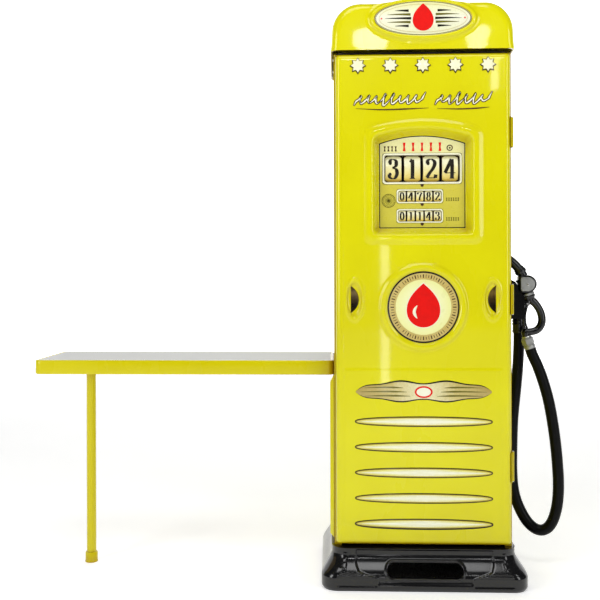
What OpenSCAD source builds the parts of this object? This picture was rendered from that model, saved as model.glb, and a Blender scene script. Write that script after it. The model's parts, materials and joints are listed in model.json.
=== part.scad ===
/* [Cabinet] */
// Width of the cabinet shell
shell_w = 600; // [580:5:620]
// Depth of the cabinet shell behind the door
shell_d = 420; // [400:5:440]
// Height of the top of the plinth
plinth_h = 130; // [125:1:132]
// Height of the top of the cabinet shell
shell_top = 1800; // [1798:1:1802]
// Thickness of the moulded walls
wall = 6; // [5:0.5:8]

/* [Plinth] */
// Width of the plinth at the floor
plinth_w = 690; // [670:5:710]
// Depth of the plinth at the floor
plinth_d = 510; // [500:5:520]
// Length of the slot in the front apron
slot_w = 252; // [200:2:280]
// Height of the slot in the front apron
slot_h = 46; // [36:1:50]

/* [Door] */
// Width of the door
door_w = 588; // [580:1:590]
// Thickness of the door
door_t = 30; // [28:1:34]
// Height of the lower edge of the door
door_z0 = 138; // [136:1:142]
// Height of the upper edge of the door
door_z1 = 1796; // [1790:1:1797]
// Number of raised trims across the lower door
trim_count = 5; // [3:1:5]

/* [Head] */
// Width of the head
head_w = 622; // [610:1:630]
// Height of the top of the head
head_top = 1968; // [1960:1:1980]
// Half length of the oval boss
boss_a = 175; // [160:1:185]
// Half height of the oval boss
boss_b = 68; // [60:1:70]

/* [Table] */
// Length of the side table
table_l = 1056; // [900:2:1100]
// Depth of the side table
table_d = 340; // [320:5:350]
// Height of the table surface
table_z = 752; // [745:1:760]
// Thickness of the table
table_t = 50; // [42:1:52]
// Diameter of the table leg
leg_dia = 34; // [30:1:38]

/* [Hose] */
// Diameter of the hose
hose_dia = 40; // [34:1:42]

/* [Hidden] */

$fn = 64;
eps = 0.01;

yellow = "#e8e000";
black = "#101010";
cream = "#f4f0c0";
steel = "#a8aaad";
grey = "#b9babd";

// Cabinet planes: the seam is the plane of the shell's front edge
seam_y = -208;
rear_y = seam_y + shell_d;
shell_h = shell_top - plinth_h;
shell_mid_y = seam_y + shell_d / 2;
side_end_y = rear_y - 62;
flange_w = 24;
shelf_z = [520, 870, 1290];
rear_corner_r = 40;
rear_screw_x = [-240, 240];
rear_screw_z = [200, 620, 1040, 1460, 1760];

// Plinth
plinth_y = -40;
plinth_foot_h = 44;
plinth_deck_t = 12;
plinth_top_w = shell_w + 20;
plinth_top_d = 466;
plinth_top_y = -19;
plinth_r = 55;
slot_z = 66;
pan_w = plinth_w - 32;
pan_d = 380;
pan_t = 8;
anchor_x = 480;
anchor_y = 280;
anchor_r = 8;

// Door planes
door_back_y = seam_y - 2;
door_y = door_back_y - door_t;
door_skin = 8;
door_rim = 12;
door_edge_r = 18;
liner_t = 4;
seal_t = 1.6;

// Hinges: the axis stands just outside the right side panel
hinge_x = shell_w / 2 + 3;
hinge_y = seam_y - 1;
hinge_r = 5;
hinge_pin_r = 2.5;
hinge_half = 50;
knuckle_half = 17;
hinge_z = [400, 965, 1530];

// Dial
dial_hw = 147;
dial_low = 1206;
dial_corner = 1497;
dial_apex = 1523;
dial_face_y = door_back_y + 2;
dial_t = 3;
cost_z = 1410;
litre_z = 1316;
gallon_z = 1249;
cost_pitch = 64;
small_pitch = 30;
small_x = -8;

// Emblem and finger pulls
emblem_z = 940;
emblem_r = 121;
emblem_ring_r = 150;
emblem_rise = 7;
pull_z = 966;
pull_x = 247;
pull_chord = 91;
pull_depth = 27;
pull_r = (pow(pull_chord / 2, 2) + pull_depth * pull_depth) / (2 * pull_depth);

// Trims on the door
trim_z0 = 211;
trim_step = 86;
trim_half = 232;
trim_rise = 17.5;
star_z = 1755;
star_pitch = 109;
star_r = 26;
script_upper_z = 1640;
script_lower_z = 655;

// Head
head_z0 = shell_top + 7;
head_front_y = door_y - 6;
head_back_y = rear_y + 4;
head_r = 72;
head_wall = 8;
boss_z = 1908;
boss_y = head_front_y - 10;
bracket_t = 3;
bracket_w = 30;

// Table
table_x1 = -shell_w / 2;
table_x0 = table_x1 - table_l;
table_skin = 8;
table_y = 12;
leg_x = table_x0 + 164;
leg_y = table_y - 28;
stud_y = 90;
stud_r = 6;
support_t = 15;

// Nozzle: everything below lies in a plane that stands at nozzle_y
nozzle_y = -30;
chamber = [389, 1014];
grip_x = 384;
grip_z = 893;
grip_r = 62;
grip_tube_r = 13;
grip_a0 = -52;
grip_a1 = 62;
grip_low = [grip_x + grip_r * cos(grip_a0), nozzle_y, grip_z + grip_r * sin(grip_a0)];
grip_high = [grip_x + grip_r * cos(grip_a1), nozzle_y, grip_z + grip_r * sin(grip_a1)];
pivot = [391, 944];
pivot_r = 3;
swivel_top = [389.5, 823.5];
swivel_end = [402.8, 783.6];
swivel_tilt = atan2(swivel_end[0] - swivel_top[0], swivel_top[1] - swivel_end[1]);
swivel_len = norm(swivel_end - swivel_top);
swivel_dir = (swivel_end - swivel_top) / swivel_len;
elbow_up = 18.6;
elbow = [swivel_top[0] - elbow_up * swivel_dir[0], nozzle_y, swivel_top[1] - elbow_up * swivel_dir[1]];
stub_r = 12;
spout_r = 17;
spout_x = 235;
spout_z = 972;
spout_bend = 160;
spout_a0 = 28.5;
spout_a1 = 75;
port_z = 1121;
port_r = 40;
outlet_x = 376;
outlet_y = 34;
hose_top = 836;
boot_z0 = 889;
boot_z1 = 1031;

// Hose route, from the outlet down the side, round the loop and up to the swivel
hose_route = [[376, 34, 836], [376, 34, 806], [374.5, 34, 760], [371, 34, 705], [364, 34, 630],
              [353, 33, 520], [349, 32, 400], [349, 30, 320], [353, 27, 268], [361, 22, 230],
              [373, 16, 198], [386, 10, 172], [400, 4, 151], [416, -3, 136], [433, -9, 128],
              [451, -15, 129], [469, -20, 142], [484, -24, 169], [494.5, -27, 207],
              [500, -29, 250], [501.5, -30, 300], [499.5, -30, 350], [493, -30, 430],
              [482, -30, 515], [466.5, -30, 600], [447, -30, 670], [429, -30, 722],
              [410.3, -30, 761.1], [403.03, -30, 782.95]];
hose_sides = 12;

// ---------- shared shapes ----------

// Rounded rectangle made of exact arcs
module rounded_rect(w, d, r) {
    square([w - 2 * r, d], center = true);
    square([w, d - 2 * r], center = true);
    for (x = [-1, 1], y = [-1, 1])
        translate([x * (w / 2 - r), y * (d / 2 - r)]) circle(r);
}

// Extrudes a shape drawn in X and Z backwards from the plane y_front
module facing(y_front, depth) {
    translate([0, y_front + depth, 0]) rotate([90, 0, 0]) linear_extrude(depth) children();
}

// Arched outline: straight sides and base under a shallow round top
module arch(hw, low, corner, apex) {
    rise = apex - corner;
    r = (hw * hw + rise * rise) / (2 * rise);
    intersection() {
        translate([-hw, low]) square([2 * hw, apex - low]);
        translate([0, apex - r]) circle(r, $fn = 180);
    }
}

// Lens outline between two wide arcs
module lens(half, rise) {
    r = (half * half + rise * rise) / (2 * rise);
    intersection() {
        translate([0, rise - r]) circle(r, $fn = 256);
        translate([0, r - rise]) circle(r, $fn = 256);
    }
}

// Pan-head screw whose head stands out along -Y
module screw(head_r = 6, head_h = 3, shank_r = 2.5, shank = 14) {
    rotate([90, 0, 0]) {
        cylinder(r = head_r, h = head_h, $fn = 24);
        translate([0, 0, -shank]) cylinder(r = shank_r, h = shank + eps, $fn = 24);
    }
}

// Straight round bar between two points
module bar(a, b, r) {
    d = b - a;
    translate(a) rotate([0, acos(d[2] / norm(d)), atan2(d[1], d[0])]) cylinder(r = r, h = norm(d));
}

// ---------- plinth ----------

module plinth_hull(inset, z0, z1, foot_h) {
    hull() {
        translate([0, plinth_y, z0]) linear_extrude(foot_h)
            rounded_rect(plinth_w - 2 * inset, plinth_d - 2 * inset, plinth_r - inset / 2, $fn = 48);
        translate([0, plinth_top_y, z1 - 3]) linear_extrude(3)
            rounded_rect(plinth_top_w - 2 * inset, plinth_top_d - 2 * inset, plinth_r - inset / 2, $fn = 48);
    }
}

module base_plinth() {
    color(black) difference() {
        plinth_hull(0, 0, plinth_h, plinth_foot_h);
        plinth_hull(16, -1, plinth_h - plinth_deck_t, plinth_foot_h);
        facing(plinth_y - plinth_d / 2 - 5, 60) translate([0, slot_z]) rounded_rect(slot_w, slot_h, slot_h / 2 - 1);
    }
}

module base_pan() {
    color(steel) difference() {
        translate([-pan_w / 2, plinth_y - pan_d / 2, 0]) cube([pan_w, pan_d, pan_t]);
        for (x = [-1, 1], y = [-1, 1])
            translate([x * anchor_x / 2, plinth_y + y * anchor_y / 2, -1]) cylinder(r = anchor_r, h = pan_t + 2);
    }
}

// ---------- cabinet shell ----------

// One side panel with its return flange along the front; side is 1 on the right and -1 on the left
module side_panel(side) {
    x_wall = side > 0 ? shell_w / 2 - wall : -shell_w / 2;
    x_flange = side > 0 ? shell_w / 2 - flange_w : -shell_w / 2;
    translate([x_wall, seam_y, plinth_h]) cube([wall, side_end_y - seam_y, shell_h]);
    translate([x_flange, seam_y, plinth_h]) cube([flange_w, wall, shell_h]);
}

module side_panel_left() {
    color(yellow) difference() {
        side_panel(-1);
        for (y = [-1, 1])
            translate([-shell_w / 2 - 1, table_y + y * stud_y, table_z - 26]) rotate([0, 90, 0]) cylinder(r = stud_r, h = wall + 2);
    }
}

module side_panel_right() {
    color(yellow) difference() {
        side_panel(1);
        for (z = hinge_z)
            translate([hinge_x, hinge_y, z - hinge_half - 1]) cylinder(r = hinge_r + 0.6, h = 2 * hinge_half + 2);
        translate([shell_w / 2 - wall - 1, nozzle_y, port_z]) rotate([0, 90, 0]) cylinder(r = port_r + 4, h = wall + 2);
        translate([shell_w / 2 - wall - 1, outlet_y, boot_z0 + 36]) rotate([0, 90, 0]) cylinder(r = 12, h = wall + 2);
        for (y = [nozzle_y - 22, nozzle_y + 62], z = [boot_z0 - 12, boot_z1 + 12])
            translate([shell_w / 2 - wall - 1, y, z]) rotate([0, 90, 0]) cylinder(r = 3, h = wall + 2);
    }
}

module rear_panel() {
    color(yellow) difference() {
        translate([0, 0, plinth_h]) linear_extrude(shell_h) intersection() {
            translate([0, shell_mid_y]) difference() {
                rounded_rect(shell_w, shell_d, rear_corner_r);
                rounded_rect(shell_w - 2 * wall, shell_d - 2 * wall, rear_corner_r - wall);
            }
            translate([-shell_w / 2, side_end_y]) square([shell_w, 70]);
        }
        for (x = rear_screw_x, z = rear_screw_z)
            translate([x, rear_y - wall - 1, z]) rotate([-90, 0, 0]) cylinder(r = 2.6, h = wall + 2);
    }
}

module rear_screws() {
    color(steel) for (x = rear_screw_x, z = rear_screw_z)
        translate([x, rear_y, z]) rotate([0, 0, 180]) screw(head_r = 7, shank = wall + 10);
}

module table_support_panel() {
    color(yellow) hull() {
        translate([-shell_w / 2 - 3, -160, 140]) cube([3, 330, table_z - table_t - 140]);
        translate([-shell_w / 2 - support_t, -146, 150]) cube([8, 302, table_z - table_t - 176]);
    }
}

// ---------- shelves ----------

module shelf(z) {
    color(cream) translate([-shell_w / 2 + wall + 2, -172, z]) cube([shell_w - 2 * wall - 4, 342, 18]);
}

module shelf_pegs() {
    color(steel) for (z = shelf_z, side = [-1, 1], y = [-130, 110])
        translate([side * (shell_w / 2 - wall) - (side > 0 ? 12 : 0), y, z - 4]) rotate([0, 90, 0]) cylinder(r = 4, h = 12);
}

// ---------- head ----------

// Head form: round corners below, balls above, drawn in by inset on every side
module head_form(inset, z0) {
    r = head_r - inset;
    hull() for (x = [-1, 1], y = [head_front_y + head_r, head_back_y - head_r])
        translate([x * (head_w / 2 - head_r), y, 0]) {
            translate([0, 0, z0]) cylinder(r1 = r + 3, r2 = r, h = head_top - head_r - z0, $fn = 48);
            translate([0, 0, head_top - head_r]) sphere(r, $fn = 48);
        }
}

module oval(a, b) {
    scale([a, b]) circle(1, $fn = 96);
}

module head_cap() {
    color(yellow) difference() {
        union() {
            head_form(0, head_z0);
            facing(boss_y, 90) translate([0, boss_z]) oval(boss_a, boss_b);
        }
        head_form(head_wall, head_z0 - 1);
        facing(boss_y - 1, 5) translate([0, boss_z]) oval(boss_a - 14, boss_b - 10);
    }
}

module badge_plate() {
    color(cream) facing(boss_y + 1.5, 2.5) translate([0, boss_z]) oval(boss_a - 14.5, boss_b - 10.5);
}

module head_gasket() {
    color(black) translate([0, shell_mid_y, shell_top]) linear_extrude(head_z0 - shell_top) difference() {
        rounded_rect(shell_w - 4, shell_d - 4, rear_corner_r - 4);
        rounded_rect(shell_w - 2 * wall, shell_d - 2 * wall, rear_corner_r - wall);
    }
}

// Four angles that tie the head to the shell from inside
module head_brackets() {
    color(steel) for (x = [-1, 1], y = [-90, 90]) {
        x_shell = shell_w / 2 - wall - bracket_t;
        x_head = head_w / 2 - head_wall - bracket_t;
        mirror([x < 0 ? 1 : 0, 0, 0]) translate([0, y - bracket_w / 2, 0]) {
            translate([x_shell, 0, shell_top - 60]) cube([bracket_t, bracket_w, 70]);
            translate([x_shell, 0, shell_top + 10]) cube([x_head + bracket_t - x_shell, bracket_w, bracket_t]);
            translate([x_head, 0, shell_top + 10]) cube([bracket_t, bracket_w, 34]);
        }
    }
}

// ---------- hinges and catch ----------

module hinge_frame_leaves() {
    color(steel) for (z = hinge_z) difference() {
        union() {
            translate([shell_w / 2, seam_y + 2, z - hinge_half]) cube([2.2, 26, 2 * hinge_half]);
            for (s = [-1, 1])
                translate([hinge_x, hinge_y, z + s * (hinge_half + knuckle_half + 0.4) / 2])
                    cylinder(r = hinge_r, h = hinge_half - knuckle_half - 0.4, center = true);
        }
        translate([hinge_x, hinge_y, z - hinge_half - 1]) cylinder(r = hinge_pin_r, h = 2 * hinge_half + 2);
        translate([hinge_x, hinge_y, z]) cylinder(r = hinge_r + 0.5, h = 2 * knuckle_half + 0.8, center = true);
    }
}

module hinge_pins() {
    color(steel) for (z = hinge_z)
        translate([hinge_x, hinge_y, z - hinge_half]) {
            cylinder(r = hinge_pin_r, h = 2 * hinge_half);
            for (end = [-2, 2 * hinge_half]) translate([0, 0, end]) cylinder(r = hinge_r - 1, h = 2);
        }
}

module hinge_door_leaves() {
    color(steel) for (z = hinge_z) difference() {
        union() {
            translate([door_w / 2, door_back_y - 25, z - hinge_half]) cube([2.2, 22, 2 * hinge_half]);
            translate([door_w / 2, hinge_y - hinge_r, z - knuckle_half]) cube([hinge_x - door_w / 2, 2.2, 2 * knuckle_half]);
            translate([hinge_x, hinge_y, z]) cylinder(r = hinge_r, h = 2 * knuckle_half, center = true);
        }
        translate([hinge_x, hinge_y, z]) cylinder(r = hinge_pin_r + 0.06, h = 2 * knuckle_half + 2, center = true);
    }
}

module catch_magnet() {
    color(steel) translate([-shell_w / 2 + flange_w, seam_y + 1, 1020]) cube([18, 22, 60]);
}

module catch_strike() {
    color(steel) translate([-shell_w / 2 + flange_w, door_back_y, 1025]) cube([16, 1.6, 50]);
}

// ---------- door ----------

module finger_opening(side) {
    translate([side * pull_x, pull_z]) intersection() {
        translate([side * (pull_r - pull_depth), 0]) circle(pull_r, $fn = 96);
        translate([side > 0 ? -2 * pull_r : 0, -pull_r]) square([2 * pull_r, 2 * pull_r]);
    }
}

module door_outline(inset) {
    translate([0, (door_z0 + door_z1) / 2]) rounded_rect(door_w - 2 * inset, door_z1 - door_z0 - 2 * inset, 14);
}

module door_panel() {
    color(yellow) difference() {
        union() {
            intersection() {
                facing(door_y, door_t) door_outline(0);
                translate([0, 0, door_z0 - 1]) linear_extrude(door_z1 - door_z0 + 2) {
                    translate([-door_w / 2 + door_edge_r, door_y]) square([door_w - 2 * door_edge_r, door_t]);
                    translate([-door_w / 2, door_y + door_edge_r]) square([door_w, door_t - door_edge_r]);
                    for (x = [-1, 1]) translate([x * (door_w / 2 - door_edge_r), door_y + door_edge_r]) circle(door_edge_r);
                }
            }
            facing(door_y - emblem_rise, emblem_rise + 2) translate([0, emblem_z]) circle(emblem_ring_r, $fn = 128);
        }
        facing(door_y + door_skin, door_t) door_outline(door_rim);
        facing(door_y - emblem_rise - 1, emblem_rise + 3) translate([0, emblem_z]) circle(emblem_r + 1, $fn = 128);
        facing(door_y - 1, door_t) arch(dial_hw + 27, dial_low - 26, dial_corner + 21, dial_apex + 24);
        for (side = [-1, 1]) facing(door_y - 1, door_t) finger_opening(side);
    }
}

module door_liner() {
    color(yellow) difference() {
        facing(door_back_y - liner_t, liner_t) door_outline(door_rim + 1);
        facing(door_back_y - liner_t - 1, liner_t + 2) {
            arch(dial_hw + 33, dial_low - 32, dial_corner + 27, dial_apex + 30);
            for (x = [-1, 1]) translate([x * (pull_x - 12), pull_z]) rounded_rect(50, 120, 8);
        }
    }
}

module door_seal() {
    color(black) facing(door_back_y, seal_t) difference() {
        door_outline(4);
        door_outline(door_rim + 4);
    }
}

module finger_cups() {
    color(black) for (x = [-1, 1]) difference() {
        facing(door_y + door_skin, 36) translate([x * (pull_x - 12), pull_z]) rounded_rect(44, 108, 12);
        facing(door_y + door_skin - 1, 34) translate([x * (pull_x - 12), pull_z]) rounded_rect(39, 103, 10);
    }
}

module emblem_plate() {
    color(cream) facing(door_y - 2, 4) translate([0, emblem_z]) circle(emblem_r, $fn = 128);
}

module louver_trims() {
    color(cream) for (i = [0 : trim_count - 1])
        facing(door_y - 4, 4) translate([0, trim_z0 + trim_step * i]) lens(trim_half, trim_rise);
}

module star_studs() {
    color(cream) for (i = [-2 : 2])
        facing(door_y - 3, 3) translate([i * star_pitch, star_z])
            polygon([for (k = [0 : 15]) (k % 2 == 0 ? star_r : star_r * 0.62) * [sin(22.5 * k), cos(22.5 * k)]]);
}

// Flat ribbon that waves along X: swing is its height, half its half length and t its thickness
module ribbon(half, swing, turns, t) {
    steps = turns * 12;
    mid = [for (i = [0 : steps]) [-half + 2 * half * i / steps, swing * sin(360 * turns * i / steps)]];
    polygon([for (p = mid) p + [0, t / 2], for (i = [steps : -1 : 0]) mid[i] - [0, t / 2]]);
}

module script_upper() {
    color(black) facing(door_y - 2, 2) translate([0, script_upper_z]) ribbon(240, 22, 8, 22);
}

module script_lower() {
    color(cream) facing(door_y - 3, 3) translate([0, script_lower_z]) ribbon(226, 16, 5, 34);
}

// ---------- dial ----------

module dial_surround() {
    color(yellow) {
        facing(door_y - 7, 7) difference() {
            arch(dial_hw + 56, dial_low - 62, dial_corner + 36, dial_apex + 42);
            arch(dial_hw + 18, dial_low - 18, dial_corner + 13, dial_apex + 16);
        }
        facing(door_y - eps, door_t - 2) difference() {
            arch(dial_hw + 25, dial_low - 24, dial_corner + 19, dial_apex + 22);
            arch(dial_hw + 18, dial_low - 18, dial_corner + 13, dial_apex + 16);
        }
        facing(dial_face_y - 4 - eps, 4) difference() {
            arch(dial_hw + 25, dial_low - 24, dial_corner + 19, dial_apex + 22);
            arch(dial_hw, dial_low, dial_corner, dial_apex);
        }
    }
}

// A window in the dial plate, between two X values around height z
module window(x0, x1, z, half) {
    translate([(x0 + x1) / 2, z]) rounded_rect(x1 - x0, 2 * half, 7);
}

module dial_plate() {
    color(cream) facing(dial_face_y, dial_t) difference() {
        arch(dial_hw + 12, dial_low - 12, dial_corner + 9, dial_apex + 11);
        window(-127, 127, cost_z, 45);
        window(small_x - 74, small_x + 74, litre_z, 19);
        window(small_x - 74, small_x + 74, gallon_z, 19);
    }
}

module counter_housing() {
    color(black) difference() {
        translate([-142, dial_face_y + dial_t, 1222]) cube([284, 18, 244]);
        translate([-139, dial_face_y + dial_t - 1, 1225]) cube([278, 16, 238]);
    }
}

// Curved number tiles in a row: each is the front slice of a drum lying along X
module drums(centres, z, width, half, r) {
    front = dial_face_y + 1;
    for (x = centres) intersection() {
        translate([x - width / 2, front + r, z]) rotate([0, 90, 0]) cylinder(r = r, h = width, $fn = 96);
        translate([x - width / 2 - 1, front - 1, z - half]) cube([width + 2, 17, 2 * half]);
    }
}

module cost_drums() {
    color(cream) drums([for (i = [0 : 3]) cost_pitch * (i - 1.5) - 1], cost_z, 56, 50, 92);
}

module litre_drums() {
    color(cream) drums([for (i = [-2 : 2]) small_pitch * i + small_x], litre_z, 26, 23, 34);
}

module gallon_drums() {
    color(cream) drums([for (i = [-2 : 2]) small_pitch * i + small_x], gallon_z, 26, 23, 34);
}

// ---------- table ----------

module table_outline(inset) {
    translate([(table_x0 + table_x1) / 2, table_y]) rounded_rect(table_l - 2 * inset, table_d - 2 * inset, 22 - inset / 2);
}

module table_frame() {
    color(yellow) difference() {
        translate([0, 0, table_z - table_t]) linear_extrude(table_t) table_outline(0);
        translate([0, 0, table_z - table_t - 1]) linear_extrude(table_t - table_skin - 2) table_outline(table_skin);
        translate([0, 0, table_z - 3]) linear_extrude(4) table_outline(14);
        for (y = [-1, 1])
            translate([table_x1 - 20, table_y + y * stud_y, table_z - 26]) rotate([0, 90, 0]) cylinder(r = stud_r, h = 30);
    }
}

module table_core() {
    color("burlywood") difference() {
        translate([0, 0, table_z - table_t]) linear_extrude(table_t - table_skin - 3) table_outline(table_skin);
        for (y = [-1, 1])
            translate([table_x1 - 60, table_y + y * stud_y, table_z - 26]) rotate([0, 90, 0]) cylinder(r = stud_r, h = 70);
    }
}

module table_top() {
    color(grey) translate([0, 0, table_z - 3]) linear_extrude(3) table_outline(14);
}

module table_studs() {
    color(steel) for (y = [-1, 1])
        translate([table_x1 - 60, table_y + y * stud_y, table_z - 26]) rotate([0, 90, 0]) cylinder(r = stud_r, h = 84);
}

module table_leg() {
    color(yellow) translate([leg_x, leg_y, 0]) difference() {
        union() {
            translate([0, 0, 8]) cylinder(r = leg_dia / 2, h = table_z - table_t - 8);
            translate([0, 0, table_z - table_t - 5]) cylinder(r = 44, h = 5);
        }
        translate([0, 0, 7]) cylinder(r = leg_dia / 2 - 2, h = table_z);
        for (a = [45 : 90 : 315]) rotate([0, 0, a]) translate([33, 0, 600]) cylinder(r = 2.6, h = 200);
    }
}

module leg_foot() {
    color(yellow) translate([leg_x, leg_y, 0]) difference() {
        union() {
            cylinder(r = 22.4, h = 38);
            cylinder(r = 23.4, h = 5);
        }
        translate([0, 0, 8]) cylinder(r = leg_dia / 2, h = 40);
    }
}

module leg_screws() {
    color(steel) for (a = [45 : 90 : 315])
        translate([leg_x, leg_y, table_z - table_t - 5]) rotate([0, 0, a]) translate([33, 0, 0]) {
            translate([0, 0, -2.5]) cylinder(r = 5, h = 2.5, $fn = 24);
            cylinder(r = 2.5, h = 5, $fn = 24);
        }
}

// ---------- nozzle boot and hose outlet ----------

// Cheek of the boot, which the nozzle hangs between
module boot_cheek() {
    polygon([[304, boot_z0 + 2], [372, boot_z0 + 2], [376, boot_z0 + 6], [376, 968], [368, 980], [355, 990],
             [351, 1012], [342, 1024], [330, boot_z1 - 2], [304, boot_z1 - 2]]);
}

module nozzle_boot() {
    color(black) difference() {
        union() {
            facing(nozzle_y - 35, 6) boot_cheek();
            facing(nozzle_y + 29, 6) boot_cheek();
            translate([shell_w / 2, nozzle_y - 36, boot_z0]) cube([12, 72, boot_z1 - boot_z0]);
            translate([shell_w / 2, nozzle_y - 36, boot_z0 - 24]) cube([7, 122, boot_z1 - boot_z0 + 48]);
        }
        for (y = [nozzle_y - 22, nozzle_y + 62], z = [boot_z0 - 12, boot_z1 + 12])
            translate([shell_w / 2 - 1, y, z]) rotate([0, 90, 0]) cylinder(r = 3, h = 10);
        translate([shell_w / 2 - 1, outlet_y, boot_z0 + 36]) rotate([0, 90, 0]) cylinder(r = 12, h = 10);
    }
}

module boot_screws() {
    color(steel) for (y = [nozzle_y - 22, nozzle_y + 62], z = [boot_z0 - 12, boot_z1 + 12])
        translate([shell_w / 2 + 7, y, z]) rotate([0, 90, 0]) {
            cylinder(r = 5.5, h = 3, $fn = 24);
            translate([0, 0, -14]) cylinder(r = 3, h = 14 + eps, $fn = 24);
        }
}

module spout_port() {
    color(black) translate([0, nozzle_y, port_z]) rotate([0, 90, 0]) difference() {
        union() {
            translate([0, 0, shell_w / 2 - wall]) cylinder(r = port_r + 4, h = wall);
            translate([0, 0, shell_w / 2]) cylinder(r1 = port_r + 10, r2 = port_r + 6, h = 5);
        }
        translate([0, 0, shell_w / 2 - wall - 1]) cylinder(r = port_r, h = 20);
    }
}

// Outlet elbow: a block on the boot with a threaded stub through the side panel
module hose_outlet() {
    color(black) {
        difference() {
            union() {
                translate([shell_w / 2 + 7, outlet_y - 18, boot_z0 + 14])
                    cube([outlet_x - shell_w / 2 - 7, 36, 43]);
                translate([outlet_x, outlet_y, boot_z0 - 4]) cylinder(r = 22, h = 62);
                translate([shell_w / 2 - 30, outlet_y, boot_z0 + 36]) rotate([0, 90, 0]) cylinder(r = 12, h = 60);
            }
            translate([outlet_x, outlet_y, boot_z0 - 5]) cylinder(r = 12, h = 40);
        }
    }
}

module outlet_nut() {
    color(steel) translate([shell_w / 2 - wall - 10, outlet_y, boot_z0 + 36]) rotate([0, 90, 0]) difference() {
        cylinder(r = 21, h = 10, $fn = 6);
        translate([0, 0, -1]) cylinder(r = 12, h = 12);
    }
}

module outlet_ferrule() {
    color(black) translate([outlet_x, outlet_y, hose_top]) difference() {
        union() {
            cylinder(r = 22.8, h = boot_z0 - 4 - hose_top);
            for (z = [3, 29, 40]) translate([0, 0, z]) cylinder(r = 24.2, h = 5);
        }
        translate([0, 0, 14]) cylinder(r = 12, h = 60);
        translate([0, 0, -1]) cylinder(r = hose_dia / 2 + 0.4, h = 3);
    }
}

// ---------- hose ----------

// Unit direction of the route at point i
function route_dir(i) =
    let (a = hose_route[max(i - 1, 0)], b = hose_route[min(i + 1, len(hose_route) - 1)])
    (b - a) / norm(b - a);

// One ring of points round point i of the route; the loop stands in a plane near Y = const
function route_ring(i, r) =
    let (t = route_dir(i), side = cross(t, [0, 1, 0]), u = side / norm(side), v = cross(u, t))
    [for (k = [0 : hose_sides - 1]) let (a = 360 * k / hose_sides) hose_route[i] + r * (cos(a) * u + sin(a) * v)];

module hose() {
    n = len(hose_route);
    color(black) polyhedron(
        points = [for (i = [0 : n - 1]) each route_ring(i, hose_dia / 2)],
        faces = [
            [for (k = [hose_sides - 1 : -1 : 0]) k],
            [for (k = [0 : hose_sides - 1]) (n - 1) * hose_sides + k],
            for (i = [0 : n - 2], k = [0 : hose_sides - 1])
                let (a = i * hose_sides, b = a + hose_sides, m = (k + 1) % hose_sides)
                each [[a + k, a + m, b + m], [a + k, b + m, b + k]]
        ]);
}

// ---------- nozzle ----------

// Collar below the valve chamber
module chamber_collar() {
    bar([389, nozzle_y, 988], [398, nozzle_y, 957], 24.8);
}

// Elbow that joins the grip to the swivel
module grip_elbow() {
    bar(grip_low, elbow, grip_tube_r - 0.6);
    translate(elbow) sphere(grip_tube_r + 1);
}

module nozzle_body() {
    color(black) {
        nozzle_casting();
        on_swivel(-elbow_up) cylinder(r = stub_r, h = elbow_up + 15);
    }
}

// The body less its stub, faced off square where the swivel turns against it
module nozzle_casting() {
    difference() {
        union() {
            translate([chamber[0], nozzle_y + 25, chamber[1]]) rotate([90, 0, 0]) cylinder(r = 35, h = 50);
            translate([356, nozzle_y - 23, 985]) cube([44, 46, 62]);
            chamber_collar();
            translate([grip_x, nozzle_y, grip_z]) rotate([90, 0, 0]) rotate([0, 0, grip_a0])
                rotate_extrude(angle = grip_a1 - grip_a0) translate([grip_r, 0]) circle(grip_tube_r);
            bar(grip_high, [400, nozzle_y, 964], grip_tube_r - 1);
            for (p = [grip_high, grip_low]) translate(p) sphere(grip_tube_r + 0.6);
            grip_elbow();
            for (s = [-1, 1]) facing(nozzle_y + s * 11 - 2, 4) {
                translate(pivot) circle(8);
                translate(pivot + [-8, 0]) square([16, 24]);
            }
        }
        facing(nozzle_y - 30, 60) translate(pivot) circle(pivot_r);
        facing(nozzle_y - 8.9, 17.8) translate(pivot) circle(11);
        spout_arc(spout_r, spout_a1 - spout_a0);
        spout_arc(spout_r + 5, 6);
        on_swivel(-4.3) cylinder(r = 24.8, h = 20);
    }
}

// Round bar of radius r along the spout's bend, from its root over the given angle
module spout_arc(r, turn) {
    translate([spout_x, nozzle_y, spout_z]) rotate([90, 0, 0]) rotate([0, 0, spout_a0])
        rotate_extrude(angle = turn) translate([spout_bend, 0]) circle(r);
}

module spout() {
    color(black) spout_arc(spout_r, spout_a1 - spout_a0);
}

module spout_collar() {
    color(black) difference() {
        spout_arc(spout_r + 5, 6);
        translate([spout_x, nozzle_y, spout_z]) rotate([90, 0, 0]) rotate([0, 0, spout_a0 - 2])
            rotate_extrude(angle = 10) translate([spout_bend, 0]) circle(spout_r);
    }
}

module nozzle_cap() {
    color(grey) difference() {
        translate([chamber[0], nozzle_y - 25, chamber[1]]) rotate([90, 0, 0]) cylinder(r = 29, h = 3.5);
        translate([chamber[0], nozzle_y - 27.5, chamber[1]]) rotate([90, 0, 0]) cylinder(r = 4, h = 4);
    }
}

// Strip that runs down beside the lever and turns in under it
module trigger_guard() {
    color(black) difference() {
        facing(nozzle_y - 8.5, 17) polygon([[377, 966], [381, 966], [381, 841], [394, 841], [394, 836], [377, 836]]);
        chamber_collar();
        grip_elbow();
    }
}

module trigger_pin() {
    color(steel) facing(nozzle_y - 14, 28) translate(pivot) circle(pivot_r);
}

module trigger() {
    color(black) difference() {
        union() {
            facing(nozzle_y - 8, 16) translate(pivot) circle(7.5);
            facing(nozzle_y - 7.5, 15) polygon([pivot + [-6.5, 0], pivot + [4, -3], [388, 912], [388, 870],
                                                [394, 860], [389, 856], [383, 868], [382.5, 912]]);
        }
        facing(nozzle_y - 9, 18) translate(pivot) circle(pivot_r + 0.06);
    }
}

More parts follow.
